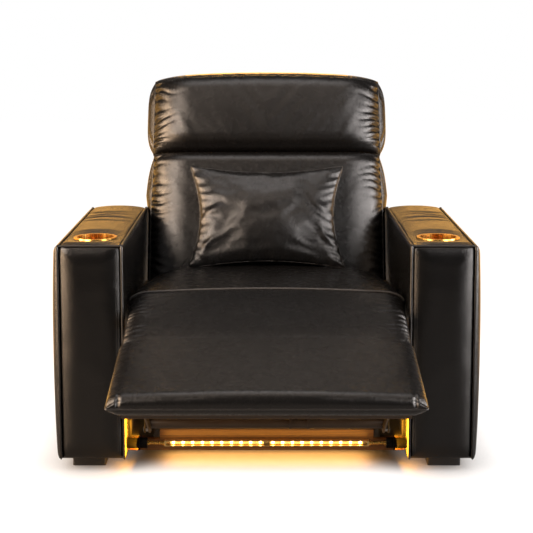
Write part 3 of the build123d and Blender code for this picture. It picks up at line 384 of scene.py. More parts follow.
def metal(name, base, rough=0.28, brushed=(600.0, 600.0, 30.0), strength=0.12):
    """Brushed metal: fine lines, closer together where a factor of brushed is high."""
    f = Finish(name)
    lines = f.noise(1.0, 3.0, 0.6, f.scaled(brushed))
    f.set(Base_Color=f.mix(f.noise(40.0, 4.0, 0.6), dimmed(base, 0.86), base),
          Roughness=f.gloss(lines, rough * 0.8, rough * 1.25), Normal=f.bump(lines, strength, 0.0002))
    return f.set(Metallic=1.0)


def painted(name, base, rough=0.5, grain=900.0, strength=0.25, specular=0.5):
    """Powder coat or moulded plastic: a fine orange peel, and slightly uneven gloss."""
    f = Finish(name)
    patches = f.noise(22.0, 4.0, 0.6)
    f.set(Base_Color=f.mix(patches, dimmed(base, 0.8), dimmed(base, 1.15)),
          Roughness=f.gloss(patches, rough - 0.06, rough + 0.08),
          Normal=f.bump(f.noise(grain, 2.0, 0.5), strength, 0.0002))
    return f.set(Specular_IOR_Level=specular)


def wood(name, dark, light, rough=0.6):
    f = Finish(name)
    rings = f.node("ShaderNodeTexWave", {"Vector": f.scaled((3.0, 60.0, 60.0)), "Scale": 1.0,
                                         "Distortion": 5.0, "Detail": 3.0, "Detail Scale": 1.5},
                   wave_type="BANDS", bands_direction="Z").outputs["Fac"]
    fibres = f.noise(1.0, 5.0, 0.7, f.scaled((40.0, 700.0, 700.0)))
    figure = f.math("ADD", f.math("MULTIPLY", rings, 0.55), f.math("MULTIPLY", fibres, 0.45))
    return f.set(Base_Color=f.ramp(figure, [(0.25, dark), (0.75, light)]), Roughness=rough,
                 Normal=f.bump(fibres, 0.3, 0.0003))


def woven(name, base, light, thread=0.0022):
    """Threads over and under each other, one every thread metres."""
    f = Finish(name)
    across, down = [f.node("ShaderNodeTexWave", {"Vector": f.place, "Scale": 1 / thread / 6.28,
                                                 "Distortion": 0.0}, bands_direction=axis).outputs["Fac"]
                    for axis in ("X", "Y")]
    weave = f.math("MULTIPLY", across, down)
    return f.set(Base_Color=f.ramp(weave, [(0.1, base), (0.8, light)]), Roughness=0.85,
                 Normal=f.bump(weave, 0.5, 0.0006))


def glowing(name, base, glow, strength):
    f = Finish(name)
    f.set(Base_Color=f.mix(f.noise(160.0, 2.0, 0.5), dimmed(base, 0.9), base), Roughness=0.3)
    return f.set(Emission_Color=(*glow, 1.0), Emission_Strength=strength)


arm_leather = leather("arm_leather", (0.0009, 0.0008, 0.0008), (0.0020, 0.0018, 0.0017), grain=260.0,
                      grain_depth=0.00020, rough=(0.19, 0.25), crease=0.0002)
soft_leather = leather("soft_leather", (0.0024, 0.0022, 0.0021), (0.0050, 0.0045, 0.0043), grain=420.0,
                       grain_depth=0.00014, rough=(0.24, 0.30))
cover_leather = leather("cover_leather", (0.0065, 0.0057, 0.0053), (0.012, 0.0105, 0.0096), grain=300.0,
                        grain_depth=0.00040, rough=(0.32, 0.42))
piping_leather = leather("piping_leather", (0.010, 0.0088, 0.0082), (0.018, 0.016, 0.015), grain=900.0,
                         grain_depth=0.0001, rough=(0.26, 0.36), coat=0.2)
# seam ridge of the seat: black leather lightened to grey, a painted highlight along the ridge
ridge_painted_highlight = leather("ridge_painted_highlight", (0.032, 0.030, 0.029), (0.060, 0.056, 0.053), grain=900.0,
                        grain_depth=0.0001, rough=(0.26, 0.36), coat=0.2)
thread = woven("thread", (0.016, 0.015, 0.014), (0.05, 0.046, 0.042), thread=0.0004)
brass = metal("brass", (0.82, 0.47, 0.11), rough=0.24, brushed=(160.0, 160.0, 8.0), strength=0.4)
black_plastic = painted("black_plastic", (0.012, 0.012, 0.012), rough=0.55)
socket_black = painted("socket_black", (0.0012, 0.0011, 0.0010), rough=0.42, specular=0.12)
black_steel = painted("black_steel", (0.022, 0.021, 0.020), rough=0.45)
gold_steel = metal("gold_steel", (0.13, 0.080, 0.030), rough=0.32, brushed=(300.0, 300.0, 300.0))
dark_steel = painted("dark_steel", (0.030, 0.017, 0.008), rough=0.4)
dark_board = wood("dark_board", (0.022, 0.013, 0.007), (0.050, 0.030, 0.016), rough=0.55)
pin_steel = metal("pin_steel", (0.36, 0.34, 0.31), rough=0.26, brushed=(40.0, 900.0, 900.0))
button_steel = metal("button_steel", (0.30, 0.295, 0.285), rough=0.34, brushed=(40.0, 1200.0, 60.0))
tube_alloy = metal("tube_alloy", (0.40, 0.40, 0.41), rough=0.3, brushed=(700.0, 30.0, 700.0))
motor_plastic = painted("motor_plastic", (0.018, 0.018, 0.019), rough=0.5, grain=1400.0)
plywood = wood("plywood", (0.36, 0.24, 0.13), (0.62, 0.46, 0.28))
# front rail: wood whose deep orange is partly its own tone and partly painted amber light from the LED bar
rail_wood_painted_amber_light = wood("rail_wood_painted_amber_light", (0.080, 0.030, 0.003), (0.17, 0.066, 0.007), rough=0.5)
strap_weave = woven("strap_weave", (0.10, 0.085, 0.06), (0.30, 0.26, 0.20))
channel_alloy = metal("channel_alloy", (0.80, 0.58, 0.24), rough=0.3, brushed=(20.0, 900.0, 900.0))
# light boards: their amber glow is painted light from the LEDs on them; the boards are no lamps
board_painted_glow = glowing("board_painted_glow", (0.90, 0.66, 0.28), (1.0, 0.50, 0.08), 1.1)
led_glow = glowing("led_glow", (1.0, 0.86, 0.55), (1.0, 0.70, 0.28), 26.0)

looks = (
    (brass, "left_cup_holder right_cup_holder light_stays"),
    (plywood, "left_arm_frame right_arm_frame seat_frame back_frame headrest_board"),
    (dark_board, "footrest_board rear_rail"),
    (rail_wood_painted_amber_light, "front_rail"),
    (black_plastic, "feet power_inlet control_bezel"),
    (socket_black, "light_sockets"),
    (button_steel, "footrest_button recline_button"),
    (black_steel, "base_angles seat_plates cross_bar back_brackets headrest_arms headrest_hinges"),
    (gold_steel, "footrest_drive_links footrest_rear_links footrest_cross_links footrest_lower_links"
                 " footrest_brackets"),
    (dark_steel, "footrest_torque_tube"),
    (pin_steel, "seat_plate_pins drive_link_pins cross_link_pins footrest_bracket_pins"
                " footrest_actuator_rod recline_actuator_rod"),
    (tube_alloy, "footrest_actuator_tube recline_actuator_tube"),
    (motor_plastic, "footrest_motor recline_motor"),
    (strap_weave, "seat_webbing back_webbing"),
    (channel_alloy, "light_channel"),
    (board_painted_glow, "light_boards"),
    (led_glow, "light_leds"),
)
finish_of = {name: finish for finish, names in looks for name in names.split()}
for node_name, node_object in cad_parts.items():
    node_object.data.materials.clear()
    node_object.data.materials.append(finish_of.get(node_name, cover_leather))


def dress(piece, finish, body, slot, *nodes, fill=None):
    """Gives a finished piece its material and body, and hides the CAD nodes that it stands for. The slot and
    fill arguments are not used.
    """
    piece.data.materials.clear()
    piece.data.materials.append(finish)
    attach(piece, body)
    if nodes:
        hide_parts(*nodes)
    return piece


# ---------------------------------------------------------------- making cushions


def piping(name, line, radius, body, slot="seat_leather", closed=False):
    """A seam's piping as a finished piece."""
    return dress(tube(name, line, radius, closed), piping_leather, body, slot)


def cushion_mesh(name, grid, shape, frame_of, folds=None):
    """Closed lattice surface bent to a shape, with folds pushed in along its normals."""
    points, quads = lattice(*grid)
    local = shape(points)
    piece = made(name, frame_of(local), quads)
    if folds is not None:
        push(piece, folds(points, local))
    return piece


def places(piece):
    """Where the vertices of a piece are."""
    flat = np.empty(len(piece.data.vertices) * 3, np.float32)
    piece.data.vertices.foreach_get("co", flat)
    return flat.reshape(-1, 3).astype(float)


def move_to(piece, points):
    piece.data.vertices.foreach_set("co", np.asarray(points, np.float32).ravel())
    piece.data.update()


def on_seam(u):
    """Where u, from -1 to 1, is on the seam at either end."""
    return np.abs(u) > 0.9999


def on_front(w):
    """From 0 to 1 over the last third before the face at w = 1, where the folds lie."""
    return np.clip(w * 3 - 2, 0, 1)


def centred(low, high):
    """Middle and half length of a span."""
    return (low + high) / 2, (high - low) / 2


def push(piece, amounts):
    """Moves each vertex along its normal."""
    normals = np.array([v.normal for v in piece.data.vertices])
    move_to(piece, places(piece) + normals * amounts[:, None])


def filled_with_air(piece, hold, pressure, frames, cap, bending, tension):
    """Blender's Cloth swells a closed piece, by at most cap. hold is 1 where a seam keeps a vertex in
    place, and 0 where it is free."""
    before = places(piece)
    group = piece.vertex_groups.new(name="hold")
    for index, amount in enumerate(hold):
        group.add([index], float(amount), "REPLACE")
    cloth = piece.modifiers.new("cloth", "CLOTH")
    leather_sheet = cloth.settings
    leather_sheet.quality = 6
    leather_sheet.mass = 0.25
    leather_sheet.tension_stiffness = leather_sheet.compression_stiffness = tension
    leather_sheet.shear_stiffness = tension * 0.4
    leather_sheet.bending_stiffness = bending
    leather_sheet.use_pressure = True
    leather_sheet.uniform_pressure_force = pressure
    leather_sheet.vertex_group_mass = "hold"
    leather_sheet.effector_weights.gravity = 0.0
    cloth.collision_settings.use_collision = False
    cloth.point_cache.frame_start, cloth.point_cache.frame_end = 1, frames
    scene = bpy.context.scene
    for number in range(1, frames + 1):
        scene.frame_set(number)
    after = np.array([v.co for v in evaluated(piece).data.vertices])
    piece.modifiers.remove(cloth)
    piece.vertex_groups.remove(group)
    scene.frame_set(1)
    moved = after - before
    size = np.linalg.norm(moved, axis=1)
    share = np.where(size > tiny, np.minimum(size, cap) / np.maximum(size, tiny), 0)
    move_to(piece, before + moved * share[:, None])


def side_pipings(name, shape, body):
    """Piping round both side panels of a cushion of the back."""
    t = np.linspace(0, 2 * math.pi, 200, endpoint=False)
    v, w = np.cos(t), np.sin(t)
    reach = np.maximum(np.abs(v), np.abs(w))
    for side_name, side in both_sides:
        ring = to_back(shape(columns(side, v / reach, w / reach)))
        piping(f"{side_name}_{name}_piping", ring, seam_radius, body, closed=True)


def seam_folds(p, local, half, pitch, depth, reach, seed):
    """How far the folds beside both side seams push a front panel in."""
    away = (1 - np.abs(p[:, 0])) * half
    folds = gathers(local[:, 2] + np.where(p[:, 0] > 0, 3.7, 0.0), away, pitch, depth, reach, seed)
    return folds * (on_front(p[:, 2]) * (np.abs(p[:, 0]) < 0.9999)) * np.clip((p[:, 1] + 1) * 8, 0, 1)


def slack(local, pitch, depth, seed, lean=0.8):
    """Faint slanting waves of loose leather, mirrored about the middle."""
    x, up = np.abs(local[:, 0]), local[:, 2]
    across = (x - lean * up) / math.hypot(1, lean)
    along = (lean * x + up) / math.hypot(1, lean)
    wave = [noise.noise(Vector((a / pitch + seed, b / (pitch * 5), seed))) for a, b in zip(across, along)]
    return depth * np.array(wave)


# ---------------------------------------------------------------- headrest
head_seam = 0.332  # seams between the front panel and the sides
head_bulge = 0.0215  # how far the sides swell
head_puff = 0.010  # and the front
head_low, head_high, head_arch = 0.387, 0.616, 0.018
head_front, head_rear = -0.092, 0.019
head_round = 0.052
head_side_turn = 0.110  # how far in from the seams the front starts to turn back
head_front_inset = 0.058  # how far the front lies back at the seams


def headrest_shape(p):
    """u across, v up along the back, w forwards, as for the back and its rear cover."""
    u, v, w = p.T
    centre_up, half_up = centred(head_low, head_high)
    centre_deep, half_deep = centred(head_front, head_rear)
    up, deep = rounded_pair(v, w, half_up, half_deep, head_round)
    turn = turn_in(u, head_seam, head_side_turn)
    up = up * (1 - 0.015 * turn)
    up += np.clip(up / half_up, 0, 1) * head_arch * (1 - np.abs(u) ** 2.4)
    deep = (deep + half_deep) * (1 - head_front_inset * turn / (2 * half_deep)) - half_deep
    deep = deep * (1 - 0.06 * turn) + np.clip(w, 0, 1) * head_puff * (1 - v * v) * (1 - u ** 4)
    x = u * (head_seam + 0.003 * (1 - v) / 2)
    x = np.where(on_seam(u), x + np.sign(u) * head_bulge * (1 - w * w) * (1 - v ** 4), x)
    return columns(x, centre_deep - deep, centre_up + up)


def headrest_folds(p, local):
    fine = seam_folds(p, local, head_seam, pitch=0.024, depth=0.0085, reach=0.026, seed=1.3)
    low_part = np.clip(-p[:, 1] * 2 - 0.4, 0, 1)
    fine += seam_folds(p, local, head_seam, pitch=0.013, depth=0.004, reach=0.016, seed=7.7) * low_part
    return fine + slack(local, pitch=0.022, depth=0.0008, seed=2.2) * on_front(p[:, 2])


head_grid = (spaced(170, 0.6), spaced(84, 0.2), spaced(26, 0.3))
headrest = cushion_mesh("headrest_padding", head_grid, headrest_shape, to_back, headrest_folds)
dress(headrest, soft_leather, "headrest", "seat_leather", "headrest_cushion", fill=0.8)
side_pipings("headrest", headrest_shape, "headrest")

# ---------------------------------------------------------------- back
back_seam_high, back_seam_low = 0.331, 0.3375
back_bulge_high, back_bulge_low = 0.019, 0.0098
back_low, back_high = -0.080, 0.382
back_front, back_join = -0.102, 0.0028
back_round = 0.036
back_side_turn = 0.110
back_front_inset = 0.056
back_puff = 0.006
back_arm_share = 0.36  # v where the back comes out between the arms


def back_seam(v):
    """Half width between the side seams: the back narrows above the arms."""
    above_arms = np.clip((v - back_arm_share) / (1 - back_arm_share), 0, 1)
    return back_seam_low + (back_seam_high - back_seam_low) * above_arms


def back_shape(p):
    u, v, w = p.T
    centre_up, half_up = centred(back_low, back_high)
    centre_deep, half_deep = centred(back_front, back_join)
    up, deep = rounded_pair(v, w, half_up, half_deep, back_round)
    turn = turn_in(u, back_seam_low, back_side_turn)
    forward = np.clip(w, 0, 1)
    deep = (deep + half_deep) * (1 - back_front_inset * turn / (2 * half_deep)) - half_deep
    deep = deep + forward * back_puff * (1 - v * v) * (1 - u ** 4)
    deep = deep * (1 - 0.45 * np.clip(-v - 0.62, 0, 1) * forward)
    x = u * back_seam(v)
    free = np.clip((v - back_arm_share + 0.12) / 0.24, 0, 1)
    bulge = back_bulge_low + (back_bulge_high - back_bulge_low) * free
    round_off = (1 - w * w) * np.where(v > 0, 1 - np.abs(v) ** 5, 1 - np.abs(v) ** 12)
    x = np.where(on_seam(u), x + np.sign(u) * bulge * round_off, x)
    return columns(x, centre_deep - deep, centre_up + up)


def back_folds(p, local):
    fine = seam_folds(p, local, back_seam_low, pitch=0.025, depth=0.0075, reach=0.026, seed=5.1)
    return fine + slack(local, pitch=0.030, depth=0.0007, seed=6.4) * on_front(p[:, 2])


back_grid = (spaced(170, 0.6), spaced(130, 0.2), spaced(26, 0.3))
back_padding = cushion_mesh("back_padding", back_grid, back_shape, to_back, back_folds)
dress(back_padding, soft_leather, "back", "seat_leather", "back_cushion", fill=0.8)
side_pipings("back", back_shape, "back")

# ---------------------------------------------------------------- rear cover of the back
cover_half, cover_front, cover_rear = 0.3385, 0.0032, 0.0655
cover_corner = 0.030
cover_foot = -0.076  # its lower edge, along the back


def rear_cover_shape(p):
    """A padded panel with round upper corners."""
    u, v, w = p.T
    centre_up, half_up = centred(cover_foot, back_high)
    centre_deep, half_deep = centred(cover_front, cover_rear)
    up, deep = rounded_pair(v, w, half_up, half_deep, 0.020)
    deep = deep * (1 - 0.30 * turn_in(u, cover_half, 0.04) * np.clip(-w, 0, 1))
    above = np.clip(up - (half_up - cover_corner), 0, cover_corner)
    round_in = cover_corner - np.sqrt(np.maximum(cover_corner ** 2 - above ** 2, 0))
    return columns(u * (cover_half - round_in), centre_deep - deep, centre_up + up)


rear_cover = cushion_mesh("back_rear_panel", (spaced(90, 0.6), spaced(60, 0.3), spaced(12, 0.3)),
                          rear_cover_shape, to_back)
dress(rear_cover, cover_leather, "back", "rear_cover", "back_rear_cover", fill=0.5)
for offset in (-1, 0, 1):
    line = columns(offset * 0.40, np.linspace(-0.93, 0.955, 60), -1.0)
    piping(f"rear_seam_{offset + 2}", to_back(rear_cover_shape(line)), radius=0.0014, body="back",
           slot="rear_cover")

# ---------------------------------------------------------------- seat
seat_half = 0.346
seat_front, seat_rear = 0.0985, 0.565
seat_under = 0.3682
seat_edges = ((0.098, 0.433), (0.3315, 0.431), (0.565, 0.416))
seat_crown = 0.012
seat_turns = (0.045, 0.150)  # how far in the shoulders turn down, at the front seam and at the back
seat_drops = (0.020, 0.062)  # and how far down
seat_shoulder_end = 0.48  # depth from which the shoulders stay as far in and down as that


def seat_edge(depth):
    """Height of the seat's side shoulders at a depth: a smooth line through three places."""
    (d0, h0), (d1, h1), (d2, h2) = seat_edges
    return (h0 * (depth - d1) * (depth - d2) / ((d0 - d1) * (d0 - d2))
            + h1 * (depth - d0) * (depth - d2) / ((d1 - d0) * (d1 - d2))
            + h2 * (depth - d0) * (depth - d1) / ((d2 - d0) * (d2 - d1)))


def seat_top(u, depth):
    """Height of the seat's top across its width, at a depth at or behind the front seam."""
    share = np.clip((depth - seat_front) / (seat_shoulder_end - seat_front), 0, 1)
    radius = seat_turns[0] + (seat_turns[1] - seat_turns[0]) * share
    drop = seat_drops[0] + (seat_drops[1] - seat_drops[0]) * share
    t = np.clip((np.abs(u) * seat_half - seat_half + radius) / radius, 0, 1)
    return seat_edge(depth) + seat_crown * (1 - u * u) - drop * (1 - np.sqrt(np.maximum(1 - t * t, 0)))


def seat_shape(p):
    """u across, v from front to rear, w up."""
    u, v, w = p.T
    middle, half = centred(seat_front, seat_rear)
    depth = middle + v * half
    end = turn_in(np.clip(v, 0, 1), half, 0.03)
    top = np.maximum(seat_top(u, depth) - end * 0.02, seat_under + 0.012)
    height = seat_under + (top - seat_under) * (w + 1) / 2
    return columns(u * seat_half, depth, height)


def seat_folds(p, local):
    return slack(local, pitch=0.05, depth=0.0012, seed=9.3, lean=0.3) * on_front(p[:, 2])


seat_grid = (spaced(150, 0.6), spaced(96, 0.2), spaced(14, 0.3))
seat_padding = cushion_mesh("seat_padding", seat_grid, seat_shape, to_object, seat_folds)
dress(seat_padding, soft_leather, "root", "seat_leather", "seat_cushion", fill=0.8)

ridge_radius = 0.0028
ridge_across = np.sin(np.linspace(-math.pi / 2, math.pi / 2, 140))
ridge_line = to_object(columns(ridge_across * (seat_half - 0.001), seat_front,
                               seat_top(ridge_across, seat_front) + 0.0008))
dress(tube("seat_seam_ridge", ridge_line, ridge_radius), ridge_painted_highlight, "root", "seat_leather")
for side_name, shift in (("front", -0.0065), ("rear", 0.0065)):
    dress(stitches(f"seat_seam_stitches_{side_name}", ridge_line + np.array([0, shift, 0.0004])), thread,
          "root", "seat_leather")

# ---------------------------------------------------------------- footrest pad
pad_length, pad_thick, pad_crown = 0.322, 0.058, 0.009
pad_half = 0.346
pad_front_round = 0.028
pad_side_turn, pad_side_drop = 0.036, 0.016
pad_seam = -0.16  # w of the piping round the front and sides


def pad_shape(p):
    """u across, v from the front edge to the rear edge, w up."""
    u, v, w = p.T
    half_v, half_w = pad_length / 2, pad_thick / 2
    behind, above = rounded_pair(v, w, half_v, half_w, pad_front_round)
    rear_part = np.clip(v * 4, 0, 1)
    behind = behind * (1 - rear_part) + v * half_v * rear_part
    above = above * (1 - rear_part) + w * half_w * rear_part
    turn = turn_in(u, pad_half, pad_side_turn)
    upward, downward = np.clip(w, 0, 1), np.clip(-w, 0, 1)
    above = above - half_w - upward * (pad_crown * u * u + pad_side_drop * turn) + downward * 0.012 * turn
    near_front = np.clip(-v, 0, 1) ** 6
    ear = np.clip((np.abs(u) - 0.93) / 0.07, 0, 1) * near_front
    seam_height = -half_w + pad_seam * half_w
    above = above + (seam_height - above) * 0.45 * ear
    behind = behind * (1 + 0.014 * ear)
    ear_fold = np.exp(-((np.abs(u) - 0.925) / 0.010) ** 2) * near_front * np.clip(w * 1.4 + 0.5, 0, 1)
    behind = behind + 0.0055 * ear_fold
    above = above - 0.0035 * ear_fold * upward
    narrow = 0.004 * np.clip((v - 0.86) / 0.14, 0, 1)
    return columns(u * (pad_half - narrow), behind - half_v, above)


def pad_folds(p, local):
    """Gathers along the rear half of both sides, and slack leather all over the top."""
    away = (1 - np.abs(p[:, 0])) * pad_half
    edge = gathers(local[:, 1], away, pitch=0.021, depth=0.0030, reach=0.030, seed=3.3)
    on_top = on_front(p[:, 2]) * np.clip(p[:, 1] * 3 - 0.6, 0, 1)
    loose = slack(local[:, [0, 2, 1]], pitch=0.05, depth=0.0008, seed=4.4, lean=0.3)
    return edge * on_top + loose * on_front(p[:, 2])


pad_grid = (spaced(170, 0.7), spaced(84, 0.4), spaced(22, 0.2))
footrest_padding = cushion_mesh("footrest_padding", pad_grid, pad_shape, to_footrest, pad_folds)
dress(footrest_padding, soft_leather, "footrest", "seat_leather", "footrest_pad", fill=0.7)

side_run = np.linspace(0.99, -1.0, 40)
pad_line = np.concatenate([columns(-1, side_run, pad_seam), columns(np.linspace(-1, 1, 120), -1, pad_seam),
                           columns(1, side_run[::-1], pad_seam)])
piping("footrest_piping", resampled(to_footrest(pad_shape(pad_line)), pitch=0.006), radius=0.0021,
       body="footrest")

# ---------------------------------------------------------------- panel between the seat and the footrest
bridge_thick = 0.038
bridge_narrow = 0.004  # on each side, inside the footrest pad
bridge_gap = 0.0003  # to the seat
bridge_rise = 0.16  # slope where it meets the seat


def bridge_shape(p):
    """u across, v from the footrest to the seat, w up. A smooth curve from one section to the other."""
    u, v, w = p.T
    t = (v + 1) / 2
    rear_depth, front_depth = seat_front - bridge_gap, footrest_edge[0]
    rear_top = seat_top(u, rear_depth)
    pad_turn = turn_in(u, pad_half, pad_side_turn)
    front_top = footrest_edge[1] - pad_crown * u * u - pad_side_drop * pad_turn
    run = rear_depth - front_depth
    front_slope, rear_slope = math.tan(footrest_slope) * run, bridge_rise * run
    blend = 3 * t ** 2 - 2 * t ** 3
    top = (front_top * (1 - blend) + rear_top * blend + front_slope * (t ** 3 - 2 * t ** 2 + t)
           + rear_slope * (t ** 3 - t ** 2))
    under = top - bridge_thick + 0.01 * pad_turn
    height = under + (top - under) * (w + 1) / 2
    return columns(u * (pad_half - bridge_narrow), front_depth + run * t, height)


def bridge_folds(p, local):
    away = (1 - np.abs(p[:, 0])) * pad_half
    along = local[:, 1] + np.where(p[:, 0] > 0, 2.9, 0.0)
    edge = gathers(along, away, pitch=0.019, depth=0.0065, reach=0.040, seed=8.8)
    on_top = on_front(p[:, 2]) * np.clip((0.96 - p[:, 1]) * 9, 0, 1)
    return edge * on_top


bridge_grid = (spaced(170, 0.7), spaced(70), spaced(8))
bridge = cushion_mesh("leg_bridge_padding", bridge_grid, bridge_shape, to_object, bridge_folds)
dress(bridge, soft_leather, "root", "seat_leather", "leg_bridge", fill=0.6)
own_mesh(bridge)
for side_name, side in both_sides:
    edge = columns(side, np.linspace(-1.0, 0.985, 60), 0.72)
    welt = piping(f"{side_name}_bridge_piping", to_object(bridge_shape(edge)), radius=0.0019, body="root")
    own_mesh(welt)

# ---------------------------------------------------------------- loose cushion
pillow_wide, pillow_tall, pillow_thick = 0.436, 0.304, 0.098
pillow_foot, pillow_lean = (0.487, 0.430), math.radians(27.5)
pillow_creases = (((-0.150, 0.012), (0.030, 0.008), 0.35, 0.006),
                  ((0.150, 0.020), (0.026, 0.008), math.pi - 0.5, 0.006),
                  ((0.170, -0.075), (0.026, 0.007), math.pi - 0.75, 0.005),
                  ((-0.165, -0.085), (0.024, 0.007), 0.8, 0.005),
                  ((-0.006, 0.118), (0.010, 0.005), -0.4, 0.004))  # middle, size, angle and depth


def to_pillow(local):
    """x, forwards from its middle plane, up along its face: to the object's frame."""
    x, forward, up = local.T
    up = up + pillow_tall / 2
    depth = pillow_foot[0] + up * math.sin(pillow_lean) - forward * math.cos(pillow_lean)
    height = pillow_foot[1] + up * math.cos(pillow_lean) + forward * math.sin(pillow_lean)
    return columns(x, front_y + depth, height)


def pillow_shape(p):
    """Two leather sheets sewn at the edges, partly filled."""
    u, v, w = p.T
    puff = np.clip(1 - np.abs(u) ** 2.2, 0, 1) ** 0.6 * np.clip(1 - np.abs(v) ** 2.2, 0, 1) ** 0.6
    waist_u = 1 - 0.135 * (1 - v * v) ** 1.2
    waist_v = 1 - 0.130 * (1 - u * u) ** 1.2
    edge = 0.003
    thick = edge + (pillow_thick / 2 - edge) * puff
    return columns(u * pillow_wide / 2 * waist_u, w * thick, v * pillow_tall / 2 * waist_v)


def pillow_folds(p, local):
    """Gathers along the four seams, and five creases, which press through to the rear in part."""
    x, up = local[:, 0], local[:, 2]
    away_u = (1 - np.abs(p[:, 0])) * pillow_wide / 2
    away_v = (1 - np.abs(p[:, 1])) * pillow_tall / 2
    along = up + np.where(x > 0, 5.1, 0.0)
    sides = gathers(along, away_u, pitch=0.026, depth=0.0070, reach=0.040, seed=11.2)
    ends = gathers(x, away_v, pitch=0.040, depth=0.0028, reach=0.020, seed=13.9)
    ends = ends * np.clip(1.6 - p[:, 1], 0.5, 1.4)
    creases = sum(dent(columns(x, up), *crease) for crease in pillow_creases)
    on_sheet = np.abs(p[:, 2]) > 0.9
    return (sides + ends + np.where(p[:, 2] > 0, creases, 0.3 * creases)) * on_sheet


pillow_grid = (spaced(104, 0.3), spaced(76, 0.3), spaced(2))
pillow = cushion_mesh("loose_cushion_padding", pillow_grid, pillow_shape, lambda local: local, pillow_folds)
sewn = on_seam(np.abs(lattice(*pillow_grid)[0][:, :2]).max(1))
filled_with_air(pillow, sewn, pressure=2.0, frames=14, cap=0.020, bending=3.0, tension=40.0)
move_to(pillow, to_pillow(places(pillow)))
evened = pillow.modifiers.new("evened", "SMOOTH")
evened.factor, evened.iterations = 0.5, 14
subdivision = pillow.modifiers.new("subdivision", "SUBSURF")
subdivision.levels = subdivision.render_levels = 1
run = np.linspace(-1, 1, 50)
rim = np.concatenate([columns(run, -1, 0), columns(1, run, 0), columns(run[::-1], 1, 0),
                      columns(-1, run[::-1], 0)])
dress(pillow, soft_leather, "back", "seat_leather", "loose_cushion", fill=0.7)
rim_line = resampled(to_pillow(pillow_shape(rim)), pitch=0.006)[:-1]
piping("loose_cushion_seam", rim_line, radius=0.0018, body="back", closed=True)

# ---------------------------------------------------------------- arms
arm_mid_y, arm_half_deep = centred(front_y, arm_rear)
arm_mid_z, arm_half_z = centred(arm_low, arm_top)
arm_mid_x, arm_half_x = centred(inner_seam, outer_seam)
top_crown, top_start = 0.007, 0.0145  # the top leather's swell, and its place behind the arm's front
top_creases = ((0.395, 0.010, 0.0022), (0.452, 0.012, 0.0034), (0.505, 0.009, 0.0024),
               (0.560, 0.014, 0.0030))  # place behind the front, width and depth


def arm_side_outline(v, w):
    """Side view of an arm: v from front to rear, w from floor to top, with the round rear top corner."""
    y, z = v * arm_half_deep, w * arm_half_z
    r = arm_rear_round
    qy, qz = np.minimum(y, arm_half_deep - r), np.minimum(z, arm_half_z - r)
    dy, dz = y - qy, z - qz
    corner = (dy > 0) & (dz > 0)
    reach = np.maximum(dy, dz)
    size = np.maximum(np.hypot(dy, dz), tiny)
    y = np.where(corner, qy + dy / size * reach, y)
    z = np.where(corner, qz + dz / size * reach, z)
    return y + arm_mid_y, z + arm_mid_z


def flipped(quads):
    """The same faces, turned over."""
    return [quad[::-1] for quad in quads]


def handed(name, points, quads, sign):
    """A piece for the right arm, or its mirror image for the left."""
    return made(name, points * np.array([sign, 1, 1]), quads if sign > 0 else flipped(quads))


def arm_panel(name, low_x, high_x, crown, edge, counts, sign):
    """Padded panel on a side of an arm: its outer face swells, and its edges are round."""
    points, quads = lattice(spaced(counts[0]), spaced(counts[1], 0.4), spaced(counts[2], 0.4))
    u, v, w = points.T
    outward = (u + 1) / 2
    y, z = arm_side_outline(v, w)
    swell = crown * (1 - np.abs(w) ** 3) * (1 - np.abs(v) ** 8)
    turn = np.maximum(turn_in(v, arm_half_deep, edge * 2.2), turn_in(w, arm_half_z, edge * 2.2))
    thick = high_x - low_x
    side = np.sign(thick)
    x = low_x + (thick + swell * side - side * np.minimum(edge * turn, abs(thick) * 0.85)) * outward
    loose = wobble(columns(x, y, z), 7.0, 3.0) * 0.0016 * outward * (1 - np.abs(w) ** 4) * (1 - v ** 4)
    return handed(name, columns(x + loose, y, z), quads if thick > 0 else flipped(quads), sign)


front_puff, front_drop, front_round = 0.0085, 0.0205, 0.052
front_seat = 0.0139  # the panel's rear face, behind the arm's front corners


def front_turn(u, w):
    """From 0 to 1 as the front panel of an arm turns back towards its edges."""
    return np.minimum(np.hypot(turn_in(u, arm_half_x, front_round), turn_in(w, arm_half_z, front_round)), 1)


def front_panel(name, sign):
    """Padded front of an arm."""
    points, quads = lattice(spaced(70, 0.7), spaced(4), spaced(150, 0.7))
    u, v, w = points.T
    turn = front_turn(u, w)
    loose = wobble(columns(u * arm_half_x, v * 0, w * arm_half_z), 16.0, 5.0) * 0.0012 * (1 - turn)
    deep = front_seat - (front_seat + front_puff + loose - turn * front_drop) * ((1 - v) / 2)
    x = arm_mid_x + u * (arm_half_x - leather_gap)
    z = arm_mid_z + w * (arm_half_z - leather_gap)
    return handed(name, columns(x, front_y + deep, z), quads, sign)


def cup_cutter(cup, radius):
    """Round column through the arm's top leather where the cup holder stands."""
    steps = 96
    angles = np.linspace(0, 2 * math.pi, steps, endpoint=False)
    middle = (cup[0] + cup[1]) / 2
    ring = columns(middle.x + np.cos(angles) * radius, middle.y + np.sin(angles) * radius)
    points = [(x, y, z) for z in (arm_top - 0.06, arm_top + 0.06) for x, y in ring]
    faces = [(i, (i + 1) % steps, steps + (i + 1) % steps, steps + i) for i in range(steps)]
    faces += [tuple(range(steps - 1, -1, -1)), tuple(range(steps, 2 * steps))]
    return made("cup_cutter", points, faces)


